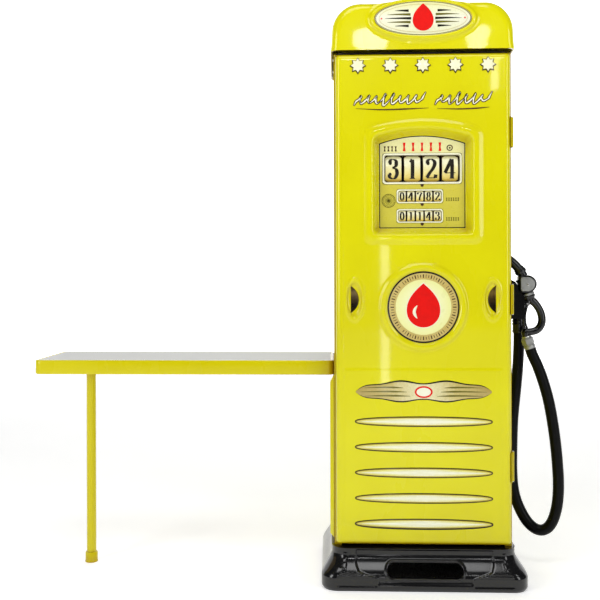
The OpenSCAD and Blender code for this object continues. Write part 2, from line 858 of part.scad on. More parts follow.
// Places its children on the swivel's axis, with +Z pointing down the hose
module on_swivel(along) {
    translate([swivel_top[0], nozzle_y, swivel_top[1]]) rotate([0, 180 - swivel_tilt, 0])
        translate([0, 0, along]) children();
}

module hose_swivel() {
    color(grey) on_swivel(0) difference() {
        union() {
            cylinder(r = 22.6, h = swivel_len - 16, $fn = 6);
            cylinder(r = 20.2, h = swivel_len);
        }
        translate([0, 0, -1]) cylinder(r = stub_r + 0.35, h = 18);
    }
}

module swivel_ring() {
    color(steel) on_swivel(-4) difference() {
        cylinder(r = 16, h = 3.6);
        translate([0, 0, -1]) cylinder(r = stub_r + 0.1, h = 8);
    }
}

// ---------- nodes ----------

base_plinth();
base_pan();
side_panel_left();
side_panel_right();
rear_panel();
rear_screws();
table_support_panel();
head_cap();
head_gasket();
head_brackets();
badge_plate();
shelf(shelf_z[0]);  // shelf_lower
shelf(shelf_z[1]);  // shelf_middle
shelf(shelf_z[2]);  // shelf_upper
shelf_pegs();
hinge_frame_leaves();
hinge_pins();
catch_magnet();
nozzle_boot();
boot_screws();
spout_port();
hose_outlet();
outlet_nut();
outlet_ferrule();
hose();
table_frame();
table_core();
table_top();
table_studs();
table_leg();
leg_foot();
leg_screws();
door_panel();
door_liner();
door_seal();
dial_surround();
dial_plate();
counter_housing();
cost_drums();
litre_drums();
gallon_drums();
emblem_plate();
louver_trims();
star_studs();
script_upper();
script_lower();
finger_cups();
hinge_door_leaves();
catch_strike();
nozzle_body();
spout();
spout_collar();
nozzle_cap();
trigger_guard();
trigger_pin();
trigger();
hose_swivel();
swivel_ring();
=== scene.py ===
import bpy
import bmesh
import json
import math
import random
from mathutils import Vector, Matrix, noise


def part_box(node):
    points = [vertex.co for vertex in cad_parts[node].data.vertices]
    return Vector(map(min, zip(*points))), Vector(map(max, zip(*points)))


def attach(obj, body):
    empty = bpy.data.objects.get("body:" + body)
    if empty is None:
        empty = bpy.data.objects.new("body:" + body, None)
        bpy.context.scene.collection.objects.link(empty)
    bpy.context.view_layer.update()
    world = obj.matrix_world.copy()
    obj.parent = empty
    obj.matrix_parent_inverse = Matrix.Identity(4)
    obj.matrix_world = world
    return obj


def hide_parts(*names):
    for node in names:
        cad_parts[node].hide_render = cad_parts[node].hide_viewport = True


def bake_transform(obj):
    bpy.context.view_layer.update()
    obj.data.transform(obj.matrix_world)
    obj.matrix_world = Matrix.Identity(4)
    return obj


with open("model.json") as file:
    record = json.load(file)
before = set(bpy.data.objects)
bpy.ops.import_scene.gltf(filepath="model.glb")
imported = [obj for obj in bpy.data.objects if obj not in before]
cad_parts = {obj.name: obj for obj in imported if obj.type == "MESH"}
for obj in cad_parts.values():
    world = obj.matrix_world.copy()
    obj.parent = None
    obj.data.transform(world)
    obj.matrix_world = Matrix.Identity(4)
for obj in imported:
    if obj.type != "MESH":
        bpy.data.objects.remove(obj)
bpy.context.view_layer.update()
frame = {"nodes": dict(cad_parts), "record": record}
record = frame["record"]
scene = bpy.context.scene
RNG = random.Random(7)
MM = 0.001


# ---------- camera ----------

CAM_POS = (-0.302, -3.173, 1.054)
CAM_YAW = 0.0385
CAM_ROLL = 0.0025
FOCAL_PX = 868.0
FRAME_PX = 600.0
SHIFT_Y = -0.044

cam_data = bpy.data.cameras.new("camera")
cam = bpy.data.objects.new("camera", cam_data)
scene.collection.objects.link(cam)
cam.location = CAM_POS
cam.rotation_euler = (math.pi / 2, CAM_ROLL, CAM_YAW)
cam_data.lens = FOCAL_PX * cam_data.sensor_width / FRAME_PX
cam_data.shift_y = SHIFT_Y
cam_data.clip_end = 60
scene.camera = cam


# ---------- mesh helpers ----------

def add_mesh(name, verts, faces, mat=None, smooth=True):
    me = bpy.data.meshes.new(name)
    me.from_pydata([tuple(v) for v in verts], [], faces)
    me.validate()
    ob = bpy.data.objects.new(name, me)
    scene.collection.objects.link(ob)
    if mat:
        me.materials.append(mat)
    fix_normals(ob)
    if smooth:
        for p in me.polygons:
            p.use_smooth = True
    return ob


def fix_normals(ob):
    bm = bmesh.new()
    bm.from_mesh(ob.data)
    bmesh.ops.recalc_face_normals(bm, faces=bm.faces)
    bm.to_mesh(ob.data)
    bm.free()


def loft(name, loops, mat, cap_start=False, cap_end=False, closed=True, sharp=None):
    """Skins loops of equal length; closed says whether each loop is a ring."""
    n = len(loops[0])
    verts = [p for loop in loops for p in loop]
    faces = []
    last = n if closed else n - 1
    for i in range(len(loops) - 1):
        for k in range(last):
            a, b = i * n + k, i * n + (k + 1) % n
            faces.append((a, b, b + n, a + n))
    if cap_start:
        faces.append(tuple(range(n - 1, -1, -1)))
    if cap_end:
        faces.append(tuple(range((len(loops) - 1) * n, len(loops) * n)))
    ob = add_mesh(name, verts, faces, mat)
    auto_smooth(ob, sharp or 50)
    return ob


def auto_smooth(ob, degrees):
    """Marks edges sharper than the angle so that smooth shading keeps them crisp."""
    bm = bmesh.new()
    bm.from_mesh(ob.data)
    limit = math.radians(degrees)
    for e in bm.edges:
        e.smooth = not (e.is_boundary or (len(e.link_faces) == 2 and e.calc_face_angle(0) > limit))
    for f in bm.faces:
        f.smooth = True
    bm.to_mesh(ob.data)
    bm.free()


def flip_normals(ob):
    bm = bmesh.new()
    bm.from_mesh(ob.data)
    bmesh.ops.reverse_faces(bm, faces=bm.faces)
    bm.to_mesh(ob.data)
    bm.free()


def bevel(ob, width, segments=3, angle=35):
    m = ob.modifiers.new("edge", "BEVEL")
    m.width = width
    m.segments = segments
    m.limit_method = "ANGLE"
    m.angle_limit = math.radians(angle)
    m.harden_normals = False
    return ob


def apply_modifiers(ob):
    dg = bpy.context.evaluated_depsgraph_get()
    me = bpy.data.meshes.new_from_object(ob.evaluated_get(dg), depsgraph=dg)
    old = ob.data
    ob.modifiers.clear()
    ob.data = me
    bpy.data.meshes.remove(old)
    return ob


def cut(ob, cutter):
    """Takes the cutter's shape out of the piece and removes the cutter."""
    m = ob.modifiers.new("cut", "BOOLEAN")
    m.operation = "DIFFERENCE"
    m.solver = "EXACT"
    m.object = cutter
    apply_modifiers(ob)
    bpy.data.objects.remove(cutter)
    return ob


def join(name, parts):
    """One mesh object from several, keeping their materials."""
    bm = bmesh.new()
    mats = []
    for o in parts:
        local = []
        for m in o.data.materials:
            if m not in mats:
                mats.append(m)
            local.append(mats.index(m))
        me = o.data
        start = len(bm.faces)
        bm.from_mesh(me)
        bm.faces.ensure_lookup_table()
        for f in bm.faces[start:]:
            f.material_index = local[f.material_index] if local else 0
    me = bpy.data.meshes.new(name)
    bm.to_mesh(me)
    bm.free()
    for m in mats:
        me.materials.append(m)
    for o in parts:
        bpy.data.objects.remove(o)
    ob = bpy.data.objects.new(name, me)
    scene.collection.objects.link(ob)
    return ob


def catmull(points, steps):
    """Smooth curve through the points, sampled steps times per span."""
    pts = [Vector(p) for p in points]
    ext = [2 * pts[0] - pts[1]] + pts + [2 * pts[-1] - pts[-2]]
    out = []
    for i in range(1, len(ext) - 2):
        p0, p1, p2, p3 = ext[i - 1:i + 3]
        for s in range(steps):
            t = s / steps
            out.append(0.5 * ((2 * p1) + (p2 - p0) * t + (2 * p0 - 5 * p1 + 4 * p2 - p3) * t * t
                              + (3 * p1 - p0 - 3 * p2 + p3) * t ** 3))
    out.append(pts[-1].copy())
    return out


def sweep(name, path, radius, mat, sides=20, plane=Vector((0, 1, 0)), caps=True, squash=1.0):
    """Tube along a path that lies near a plane; radius is a number or one value per point."""
    loops = []
    n = len(path)
    for i, p in enumerate(path):
        t = (path[min(i + 1, n - 1)] - path[max(i - 1, 0)]).normalized()
        side = t.cross(plane).normalized()
        up = side.cross(t)
        r = radius[i] if isinstance(radius, (list, tuple)) else radius
        loops.append([p + r * (math.cos(a) * side + squash * math.sin(a) * up)
                      for a in (2 * math.pi * k / sides for k in range(sides))])
    return loft(name, loops, mat, cap_start=caps, cap_end=caps)


def rounded_rect(w, d, r, n=10):
    """Outline of a rounded rectangle, as (x, y), counter-clockwise, n points per corner."""
    out = []
    for cx, cy, a0 in ((w / 2 - r, d / 2 - r, 0), (-w / 2 + r, d / 2 - r, 90),
                       (-w / 2 + r, -d / 2 + r, 180), (w / 2 - r, -d / 2 + r, 270)):
        for k in range(n + 1):
            a = math.radians(a0 + 90 * k / n)
            out.append((cx + r * math.cos(a), cy + r * math.sin(a)))
    return out


def resample(outline, count):
    """The closed outline again with evenly spaced points."""
    pts = [Vector((*p, 0)) if len(p) == 2 else Vector(p) for p in outline]
    lens = [0.0]
    for i in range(len(pts)):
        lens.append(lens[-1] + (pts[(i + 1) % len(pts)] - pts[i]).length)
    out = []
    j = 0
    for k in range(count):
        s = lens[-1] * k / count
        while lens[j + 1] < s:
            j += 1
        t = (s - lens[j]) / max(lens[j + 1] - lens[j], 1e-12)
        p = pts[j].lerp(pts[(j + 1) % len(pts)], t)
        out.append((p.x, p.y))
    return out


def smoothstep(a, b, x):
    t = min(max((x - a) / (b - a), 0.0), 1.0)
    return t * t * (3 - 2 * t)


# ---------- material helpers ----------

class Nodes:
    """Short names for building a node material."""

    def __init__(self, name, **base):
        self.mat = bpy.data.materials.new(name)
        self.mat.use_nodes = True
        self.tree = self.mat.node_tree
        self.bsdf = self.tree.nodes["Principled BSDF"]
        self.coord = self.tree.nodes.new("ShaderNodeTexCoord").outputs["Object"]
        for key, value in base.items():
            self.put(key, value)

    def put(self, key, value):
        names = {"color": "Base Color", "rough": "Roughness", "metal": "Metallic", "coat": "Coat Weight",
                 "coat_rough": "Coat Roughness", "ior": "IOR", "spec": "Specular IOR Level",
                 "sheen": "Sheen Weight", "sss": "Subsurface Weight", "alpha": "Alpha",
                 "trans": "Transmission Weight"}
        socket = self.bsdf.inputs[names[key]]
        if isinstance(value, bpy.types.NodeSocket):
            self.tree.links.new(value, socket)
        elif isinstance(value, (tuple, list)):
            socket.default_value = (*value[:3], 1)
        else:
            socket.default_value = value

    def node(self, kind, **inputs):
        n = self.tree.nodes.new(kind)
        for key, value in inputs.items():
            if key.startswith("_"):
                setattr(n, key[1:], value)
        for key, value in inputs.items():
            if key.startswith("_"):
                continue
            socket = n.inputs[int(key[1:])] if key[0] == "i" and key[1:].isdigit() else n.inputs[key]
            if isinstance(value, bpy.types.NodeSocket):
                self.tree.links.new(value, socket)
            elif isinstance(value, (tuple, list)) and socket.type == "RGBA" and len(value) == 3:
                socket.default_value = (*value, 1)
            else:
                socket.default_value = value
        return n

    def noise(self, scale, detail=3.0, rough=0.5, stretch=None, distort=0.0):
        coord = self.coord
        if stretch:
            coord = self.node("ShaderNodeMapping", Vector=self.coord, Scale=stretch).outputs[0]
        return self.node("ShaderNodeTexNoise", Vector=coord, Scale=scale, Detail=detail,
                         Roughness=rough, Distortion=distort).outputs["Fac"]

    def ramp(self, fac, *stops):
        n = self.node("ShaderNodeValToRGB", Fac=fac)
        r = n.color_ramp
        while len(r.elements) < len(stops):
            r.elements.new(0.5)
        for e, (pos, col) in zip(r.elements, stops):
            e.position = pos
            e.color = (*col, 1) if len(col) == 3 else col
        return n.outputs["Color"]

    def value(self, fac, a0, a1, b0, b1):
        return self.node("ShaderNodeMapRange", Value=fac, i1=a0, i2=a1, i3=b0, i4=b1).outputs[0]

    def mix(self, fac, a, b, blend="MIX"):
        n = self.tree.nodes.new("ShaderNodeMix")
        n.data_type = "RGBA"
        n.blend_type = blend
        for socket, value in ((n.inputs[0], fac), (n.inputs[6], a), (n.inputs[7], b)):
            if isinstance(value, bpy.types.NodeSocket):
                self.tree.links.new(value, socket)
            elif isinstance(value, (tuple, list)):
                socket.default_value = (*value[:3], 1)
            else:
                socket.default_value = value
        return n.outputs[2]

    def math(self, op, a, b=0.0):
        return self.node("ShaderNodeMath", _operation=op, i0=a, i1=b).outputs[0]

    def bump(self, height, strength, distance):
        n = self.node("ShaderNodeBump", Height=height, Strength=strength, Distance=distance)
        self.tree.links.new(n.outputs[0], self.bsdf.inputs["Normal"])
        return n

    def axis(self, which):
        return self.node("ShaderNodeSeparateXYZ", Vector=self.coord).outputs[which]

    def crevice(self, distance=0.02):
        return self.node("ShaderNodeAmbientOcclusion", Distance=distance, _samples=8).outputs["AO"]


def yellow_gelcoat(name, base, deep, coat=1.0, peel=0.10):
    """Moulded gloss finish: slight colour drift, fine orange peel, dust low down, rub marks, and amber painted shade in
    creases and hollows.
    """
    m = Nodes(name, coat=coat, coat_rough=0.045, ior=1.5, spec=0.12)
    drift = m.noise(2.2, 2.0)
    cloud = m.noise(14.0, 3.0)
    col = m.mix(m.value(drift, 0.35, 0.65, 0.0, 1.0), base, deep)
    col = m.mix(m.math("MULTIPLY", m.value(cloud, 0.45, 0.75, 0.0, 1.0), 0.12), col, deep)
    speck = m.noise(260.0, 2.0)
    dirt = m.value(speck, 0.72, 0.80, 0.0, 0.35)
    col = m.mix(dirt, col, (0.42, 0.37, 0.05))
    low = m.value(m.axis(2), 0.0, 0.30, 0.12, 0.0)
    col = m.mix(m.math("MULTIPLY", low, m.value(m.noise(30.0, 4.0), 0.35, 0.7, 0.0, 1.0)), col, (0.40, 0.36, 0.12))
    # painted shade: amber darkening where the surface is hemmed in, in creases, recesses and round the raised mouldings
    painted_crevice_shade = m.node("ShaderNodeAmbientOcclusion", Distance=0.060, _samples=6).outputs["AO"]
    col = m.mix(m.value(painted_crevice_shade, 0.45, 0.97, 0.95, 0.0), col, (0.42, 0.26, 0.0))
    m.put("color", col)
    smear = m.noise(6.0, 4.0, 0.6, stretch=(1.0, 1.0, 0.35))
    m.put("rough", m.value(smear, 0.3, 0.7, 0.20, 0.36))
    wave = m.noise(5.0, 1.5)
    skin = m.noise(420.0, 1.0)
    height = m.math("ADD", m.math("MULTIPLY", wave, 1.6), m.math("MULTIPLY", skin, peel))
    m.bump(height, 0.32, 0.0012)
    return m.mat


def black_gloss(name, base=(0.006, 0.006, 0.007), rough=(0.10, 0.24), dust=0.5, scratch=0.4, spec=0.5, coat=1.0,
                haze=0.07):
    """Glossy black: dust on upward faces, fine scratches, a clear coat of the given haze."""
    m = Nodes(name, coat=coat, coat_rough=haze, ior=1.5, spec=spec)
    grey = (0.022, 0.021, 0.020)
    d = m.value(m.noise(55.0, 5.0, 0.65), 0.55, 0.80, 0.0, dust)
    up = m.node("ShaderNodeNewGeometry").outputs["Normal"]
    facing = m.node("ShaderNodeSeparateXYZ", Vector=up).outputs[2]
    d = m.math("ADD", d, m.math("MULTIPLY", m.value(facing, 0.5, 1.0, 0.0, 0.25), m.value(m.noise(90.0), 0.3, 0.7, 0.3, 1.0)))
    m.put("color", m.mix(d, base, grey))
    line = m.noise(70.0, 2.0, 0.5, stretch=(0.25, 0.25, 5.0))
    m.put("rough", m.math("ADD", m.value(m.noise(9.0, 4.0), 0.3, 0.7, *rough),
                          m.math("MULTIPLY", m.value(line, 0.66, 0.74, 0.0, 1.0), 0.2 * scratch)))
    m.bump(m.math("ADD", m.noise(7.0, 1.5), m.math("MULTIPLY", m.noise(380.0, 1.0), 0.08)), 0.25, 0.0012)
    return m.mat


def metal(name, base, dark, rough=(0.25, 0.45), brushed=(1, 1, 1), metallic=1.0, bump=0.25):
    m = Nodes(name, metal=metallic, ior=1.5)
    stain = m.value(m.noise(45.0, 5.0, 0.65), 0.48, 0.75, 0.0, 1.0)
    m.put("color", m.mix(m.math("MULTIPLY", stain, 0.6), base, dark))
    grain = m.noise(300.0, 2.0, 0.6, stretch=brushed)
    m.put("rough", m.value(grain, 0.3, 0.7, *rough))
    m.bump(grain, bump, 0.0003)
    return m.mat


def rubber(name, base=(0.012, 0.012, 0.013), worn=(0.05, 0.048, 0.045), rough=(0.32, 0.55), spec=0.5):
    m = Nodes(name, ior=1.5, spec=spec)
    wear = m.value(m.noise(38.0, 5.0, 0.7), 0.52, 0.78, 0.0, 0.7)
    m.put("color", m.mix(wear, base, worn))
    m.put("rough", m.value(m.noise(16.0, 4.0), 0.3, 0.7, *rough))
    weave = m.noise(520.0, 1.0)
    m.bump(m.math("ADD", m.math("MULTIPLY", weave, 0.5), m.noise(30.0, 3.0)), 0.3, 0.0006)
    return m.mat


def board_material(name):
    m = Nodes(name, ior=1.45, coat=0.15, coat_rough=0.3)
    grain = m.noise(9.0, 6.0, 0.6, stretch=(0.35, 4.0, 8.0), distort=0.8)
    fine = m.noise(90.0, 3.0, 0.6, stretch=(0.2, 5.0, 5.0))
    col = m.ramp(grain, (0.3, (0.30, 0.19, 0.09)), (0.5, (0.46, 0.32, 0.17)), (0.7, (0.58, 0.43, 0.25)))
    m.put("color", m.mix(m.math("MULTIPLY", fine, 0.25), col, (0.25, 0.15, 0.07)))
    m.put("rough", m.value(fine, 0.3, 0.7, 0.45, 0.65))
    m.bump(fine, 0.3, 0.0006)
    return m.mat


def laminate_material(name):
    """Pale grey laminate with a faint clouded print and fine pebble."""
    m = Nodes(name, ior=1.5, spec=0.5)
    cloud = m.noise(55.0, 6.0, 0.62, distort=1.2)
    fleck = m.noise(420.0, 2.0)
    col = m.ramp(cloud, (0.30, (0.31, 0.315, 0.30)), (0.5, (0.36, 0.365, 0.345)), (0.70, (0.41, 0.415, 0.39)))
    col = m.mix(m.value(fleck, 0.62, 0.7, 0.0, 0.35), col, (0.22, 0.225, 0.24))
    m.put("color", col)
    m.put("rough", m.value(cloud, 0.3, 0.7, 0.30, 0.42))
    m.bump(m.noise(700.0, 1.5), 0.25, 0.0002)
    return m.mat


def flat_enamel(name, base, shade, rough=0.28, coat=0.6):
    """Flat colour with slight mottling, for print, paint, and the painted shade and highlight bands of the trims."""
    m = Nodes(name, coat=coat, coat_rough=0.08, ior=1.5, spec=0.2)
    mott = m.noise(60.0, 5.0, 0.65)
    col = m.mix(m.value(mott, 0.40, 0.75, 0.0, 0.7), base, shade)
    m.put("color", col)
    m.put("rough", m.value(m.noise(25.0, 3.0), 0.3, 0.7, rough, rough + 0.15))
    m.bump(m.noise(350.0, 1.0), 0.15, 0.0003)
    return m.mat


# ---------- materials ----------

YELLOW = (0.735, 0.695, 0.001)
YELLOW_DEEP = (0.665, 0.61, 0.001)

MAT = {
    "yellow_gelcoat": yellow_gelcoat("yellow_gelcoat", YELLOW, YELLOW_DEEP, 0.6),
    "yellow_enamel": yellow_gelcoat("yellow_enamel", (0.66, 0.59, 0.002), (0.60, 0.52, 0.0015), 0.4, 0.2),
    "black_gelcoat": black_gloss("black_gelcoat", (0.0035, 0.0035, 0.0040), (0.12, 0.24), 0.35, 0.4, 0.30, 0.50, 0.10),
    "black_moulding": black_gloss("black_moulding", (0.0025, 0.0025, 0.0030), (0.14, 0.26), 0.2, 0.4, 0.2, 0.2),
    "black_enamel": black_gloss("black_enamel", (0.0025, 0.0025, 0.0030), (0.10, 0.22), 0.25, 0.8, 0.3, 0.35),
    "plated_steel": metal("plated_steel", (0.60, 0.60, 0.57), (0.36, 0.33, 0.27), (0.22, 0.42), (1, 1, 0.15)),
    "screw_steel": metal("screw_steel", (0.55, 0.55, 0.53), (0.30, 0.26, 0.21), (0.28, 0.45)),
    "seal_rubber": rubber("seal_rubber", (0.014, 0.011, 0.008)),
    "cream_print": flat_enamel("cream_print", (0.90, 0.89, 0.62), (0.85, 0.82, 0.50)),
    "board": board_material("board"),
    "grey_laminate": laminate_material("grey_laminate"),
    "grey_metal": metal("grey_metal", (0.34, 0.345, 0.34), (0.17, 0.17, 0.165), (0.36, 0.52), metallic=0.75, bump=0.9),
    "hose_rubber": rubber("hose_rubber", (0.0015, 0.0015, 0.0017), (0.005, 0.0048, 0.0045), (0.26, 0.42), 0.12),
}
INK = flat_enamel("dark_ink", (0.008, 0.006, 0.003), (0.020, 0.015, 0.006), 0.35, 0.2)
BROWN_PRINT_AND_SHADE = flat_enamel("brown_print_and_shade", (0.050, 0.022, 0.008), (0.12, 0.055, 0.015), 0.35, 0.3)
OLIVE_INK = flat_enamel("olive_ink", (0.13, 0.12, 0.012), (0.20, 0.18, 0.02), 0.35)
RED_INK = flat_enamel("red_ink", (0.78, 0.003, 0.001), (0.64, 0.004, 0.002), 0.3, 0.1)
TAN_INK = flat_enamel("tan_ink", (0.60, 0.47, 0.15), (0.50, 0.36, 0.09), 0.35, 0.3)
PALE_PRINT_AND_HIGHLIGHT = flat_enamel("pale_print_and_highlight", (0.90, 0.90, 0.70), (0.86, 0.85, 0.56), 0.3, 0.3)
TRIM_SHADE_BRONZE = flat_enamel("trim_shade_bronze", (0.20, 0.15, 0.018), (0.28, 0.21, 0.03), 0.35, 0.3)
TRIM_SHADE_GOLD = flat_enamel("trim_shade_gold", (0.72, 0.62, 0.10), (0.60, 0.48, 0.06), 0.3, 0.3)


def graded(name, axis, lo, hi, *stops):
    """Colour that changes along one axis, with paper-like mottling; it carries print, and also the painted shade and
    highlight of the trims, number tiles and finger pulls.
    """
    m = Nodes(name, coat=0.5, coat_rough=0.1, ior=1.5)
    t = m.value(m.axis(axis), lo, hi, 0.0, 1.0)
    t = m.math("ADD", t, m.value(m.noise(130.0, 5.0, 0.7), 0.3, 0.7, -0.05, 0.05))
    col = m.ramp(t, *stops)
    m.put("color", m.mix(m.value(m.noise(300.0, 3.0), 0.5, 0.8, 0.0, 0.22), col, (0.30, 0.24, 0.05)))
    m.put("rough", m.value(m.noise(40.0, 3.0), 0.3, 0.7, 0.26, 0.42))
    m.bump(m.noise(420.0, 1.0), 0.15, 0.0003)
    return m.mat


def radial(name, centre, radius, *stops):
    """Printed colour that changes with distance from a point on the door, in X and Z."""
    m = Nodes(name, coat=0.5, coat_rough=0.1, ior=1.5)
    x = m.math("SUBTRACT", m.axis(0), centre[0])
    z = m.math("SUBTRACT", m.axis(2), centre[1])
    r = m.math("SQRT", m.math("ADD", m.math("MULTIPLY", x, x), m.math("MULTIPLY", z, z)))
    t = m.math("DIVIDE", r, radius)
    t = m.math("ADD", t, m.value(m.noise(110.0, 5.0, 0.7), 0.3, 0.7, -0.04, 0.04))
    m.put("color", m.ramp(t, *stops))
    m.put("rough", m.value(m.noise(40.0, 3.0), 0.3, 0.7, 0.25, 0.4))
    m.bump(m.noise(420.0, 1.0), 0.15, 0.0003)
    return m.mat


GOLD_FACE = graded("dial_face", 2, 1.21, 1.52,
                   (0.0, (0.62, 0.56, 0.05)), (0.50, (0.64, 0.56, 0.06)), (0.62, (0.70, 0.64, 0.12)),
                   (0.80, (0.84, 0.80, 0.36)), (1.0, (0.88, 0.86, 0.46)))
BADGE_FACE = graded("badge_face", 2, 1.86, 1.965,
                    (0.0, (0.80, 0.80, 0.50)), (0.5, (0.86, 0.86, 0.68)), (1.0, (0.82, 0.82, 0.36)))
# painted shade on the louvre trims: darker gold towards both ends, pale in the middle
TRIM_FACE = graded("trim_face", 0, -0.232, 0.232,
                   (0.0, (0.74, 0.68, 0.18)), (0.25, (0.84, 0.82, 0.30)), (0.5, (0.90, 0.90, 0.66)),
                   (0.75, (0.84, 0.82, 0.30)), (1.0, (0.74, 0.68, 0.18)))
BAND_FACE = graded("band_face", 0, -0.226, 0.226,
                   (0.0, (0.42, 0.31, 0.08)), (0.25, (0.58, 0.47, 0.14)), (0.5, (0.84, 0.80, 0.50)),
                   (0.75, (0.58, 0.47, 0.14)), (1.0, (0.42, 0.31, 0.08)))

for node_name, ob in frame["nodes"].items():
    slot_name = next(s["material_slot"] for s in record["subparts"] if s["node"] == node_name)
    ob.data.materials.clear()
    ob.data.materials.append(MAT[slot_name])


# ---------- frame measures ----------

def lo(node):
    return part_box(node)[0]


def hi(node):
    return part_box(node)[1]


def mid(node):
    a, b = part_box(node)
    return (a + b) / 2


DOOR_LO, DOOR_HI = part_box("door_panel")
DOOR_BACK = DOOR_HI.y
DOOR_FRONT = lo("door_liner").y - 0.026
EMBLEM = mid("emblem_plate")
EMBLEM_R = (hi("emblem_plate").x - lo("emblem_plate").x) / 2
DIAL_LO, DIAL_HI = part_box("dial_plate")
PULL = mid("finger_cups").z
PULL_X = 0.232
CREASE_Z = 0.731


def finish_piece(ob, body, nodes=()):
    """Ties a piece to its body and hides the nodes it stands for."""
    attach(ob, body)
    if nodes:
        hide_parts(*nodes)
    return ob


# ---------- hose ----------

def hose_line():
    """Centreline of the hose, from the ferrule down, round the loop and up to the swivel."""
    top = mid("outlet_ferrule")
    start = Vector((top.x, top.y, lo("outlet_ferrule").z))
    end = SW_END + SW_AXIS * 0.0007
    knots = [start + Vector((0, 0, 0.004)), (.376, .034, .806), (.3745, .034, .760), (.371, .034, .705),
             (.364, .034, .630), (.353, .033, .520), (.349, .032, .400), (.349, .030, .320), (.353, .027, .268),
             (.361, .022, .230), (.373, .016, .198), (.386, .010, .172), (.400, .004, .151), (.416, -.003, .136),
             (.433, -.009, .128), (.451, -.015, .129), (.469, -.020, .142), (.484, -.024, .169),
             (.4945, -.027, .207), (.500, -.029, .250), (.5015, -.030, .300), (.4995, -.030, .350),
             (.493, -.030, .430), (.482, -.030, .515), (.4665, -.030, .600), (.447, -.030, .670),
             (.429, -.030, .720), (.4103, -.030, .7611), end]
    return catmull(knots, 7)


# the swivel's axis, from its joint down to the mouth of the hose
NZ = mid("hose_swivel").y
SWIVEL = next(j for j in frame["record"]["behaviour"]["joints"] if j["name"] == "swivel_turn")
SW_TOP = Vector(SWIVEL["pos_m"])
SW_AXIS = Vector(SWIVEL["axis"]).normalized()
SW_LEN = 0.0421
SW_END = SW_TOP + SW_AXIS * SW_LEN
HOSE_DIA = 0.0395
hose_path = hose_line()
hose = sweep("hose_tube", hose_path, HOSE_DIA / 2, MAT["hose_rubber"], sides=28)
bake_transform(hose)
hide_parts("hose")


# ---------- door ----------

EDGE_R = 0.018
INSET = 0.026
DOOR_W = DOOR_HI.x - DOOR_LO.x
DOOR_H = DOOR_HI.z - DOOR_LO.z
DOOR_CZ = (DOOR_HI.z + DOOR_LO.z) / 2


def xz_loop(outline, y, cx=0.0, cz=0.0):
    return [Vector((cx + x, y, cz + z)) for x, z in outline]


def door_border():
    loops = []
    steps = [(0.012, DOOR_BACK), (0.0, DOOR_BACK), (0.0, DOOR_BACK - 0.006)]
    steps += [(EDGE_R * (1 - math.cos(a)), DOOR_FRONT + EDGE_R * (1 - math.sin(a)))
              for a in (math.radians(90 * k / 9) for k in range(10))]
    steps += [(INSET, DOOR_FRONT), (INSET + 0.002, DOOR_FRONT + 0.0002)]
    for inset, y in steps:
        outline = rounded_rect(DOOR_W - 2 * inset, DOOR_H - 2 * inset, max(0.014 - inset * 0.5, 0.002), 8)
        loops.append(xz_loop(outline, y, 0, DOOR_CZ))
    return loft("door_edge", loops, MAT["yellow_gelcoat"])


def ring_profile(r):
    """How far the moulding stands out round the emblem, at distance r from its centre."""
    outer = smoothstep(0.153, 0.139, r)
    inner = smoothstep(0.121, 0.131, r)
    return 0.0066 * outer * (0.25 + 0.75 * inner)


def dish_profile(x, z):
    """The shallow oval dish round each finger pull."""
    q = math.hypot((abs(x) - PULL_X) / 0.031, (z - PULL) / 0.069)
    rim = 0.0026 * smoothstep(1.16, 0.98, q) * smoothstep(0.74, 0.95, q)
    bowl = -0.0075 * smoothstep(0.98, 0.45, q)
    return rim + bowl


def door_height(x, z):
    h = 0.0
    r = math.hypot(x, z - EMBLEM.z)
    if r < 0.16:
        h += ring_profile(r)
    if abs(z - PULL) < 0.09 and abs(abs(x) - PULL_X) < 0.05:
        h += dish_profile(x, z)
    h += 0.0010 * smoothstep(CREASE_Z + 0.0030, CREASE_Z - 0.0030, z) * smoothstep(DOOR_LO.z + 0.03, DOOR_LO.z + 0.09, z)
    return h * smoothstep(DOOR_W / 2 - INSET, DOOR_W / 2 - INSET - 0.012, abs(x))


def door_face():
    x1, z0, z1 = DOOR_W / 2 - INSET, DOOR_LO.z + INSET, DOOR_HI.z - INSET
    nx, nz = 180, 510
    hole_hw = (DIAL_HI.x - DIAL_LO.x) / 2 + 0.020
    verts, faces, index = [], [], {}

    def keep(x, z):
        if math.hypot(x, z - EMBLEM.z) < EMBLEM_R - 0.006:
            return False
        if abs(x) < hole_hw and DIAL_LO.z - 0.012 < z < DIAL_HI.z + 0.008 - 0.10 * x * x / hole_hw:
            return False
        if math.hypot((abs(x) - PULL_X) / 0.021, (z - PULL) / 0.055) < 1:
            return False
        return True

    for j in range(nz + 1):
        z = z0 + (z1 - z0) * j / nz
        for i in range(nx + 1):
            x = -x1 + 2 * x1 * i / nx
            verts.append(Vector((x, DOOR_FRONT - door_height(x, z), z)))
    for j in range(nz):
        for i in range(nx):
            a = j * (nx + 1) + i
            c = (verts[a] + verts[a + nx + 2]) / 2
            if keep(c.x, c.z):
                faces.append((a, a + 1, a + nx + 2, a + nx + 1))
    used = sorted({v for f in faces for v in f})
    index = {v: k for k, v in enumerate(used)}
    ob = add_mesh("door_face", [verts[v] for v in used], [tuple(index[v] for v in f) for f in faces],
                  MAT["yellow_gelcoat"])
    for p in ob.data.polygons:
        if p.normal.y > 0:
            flip_normals(ob)
        break
    return ob


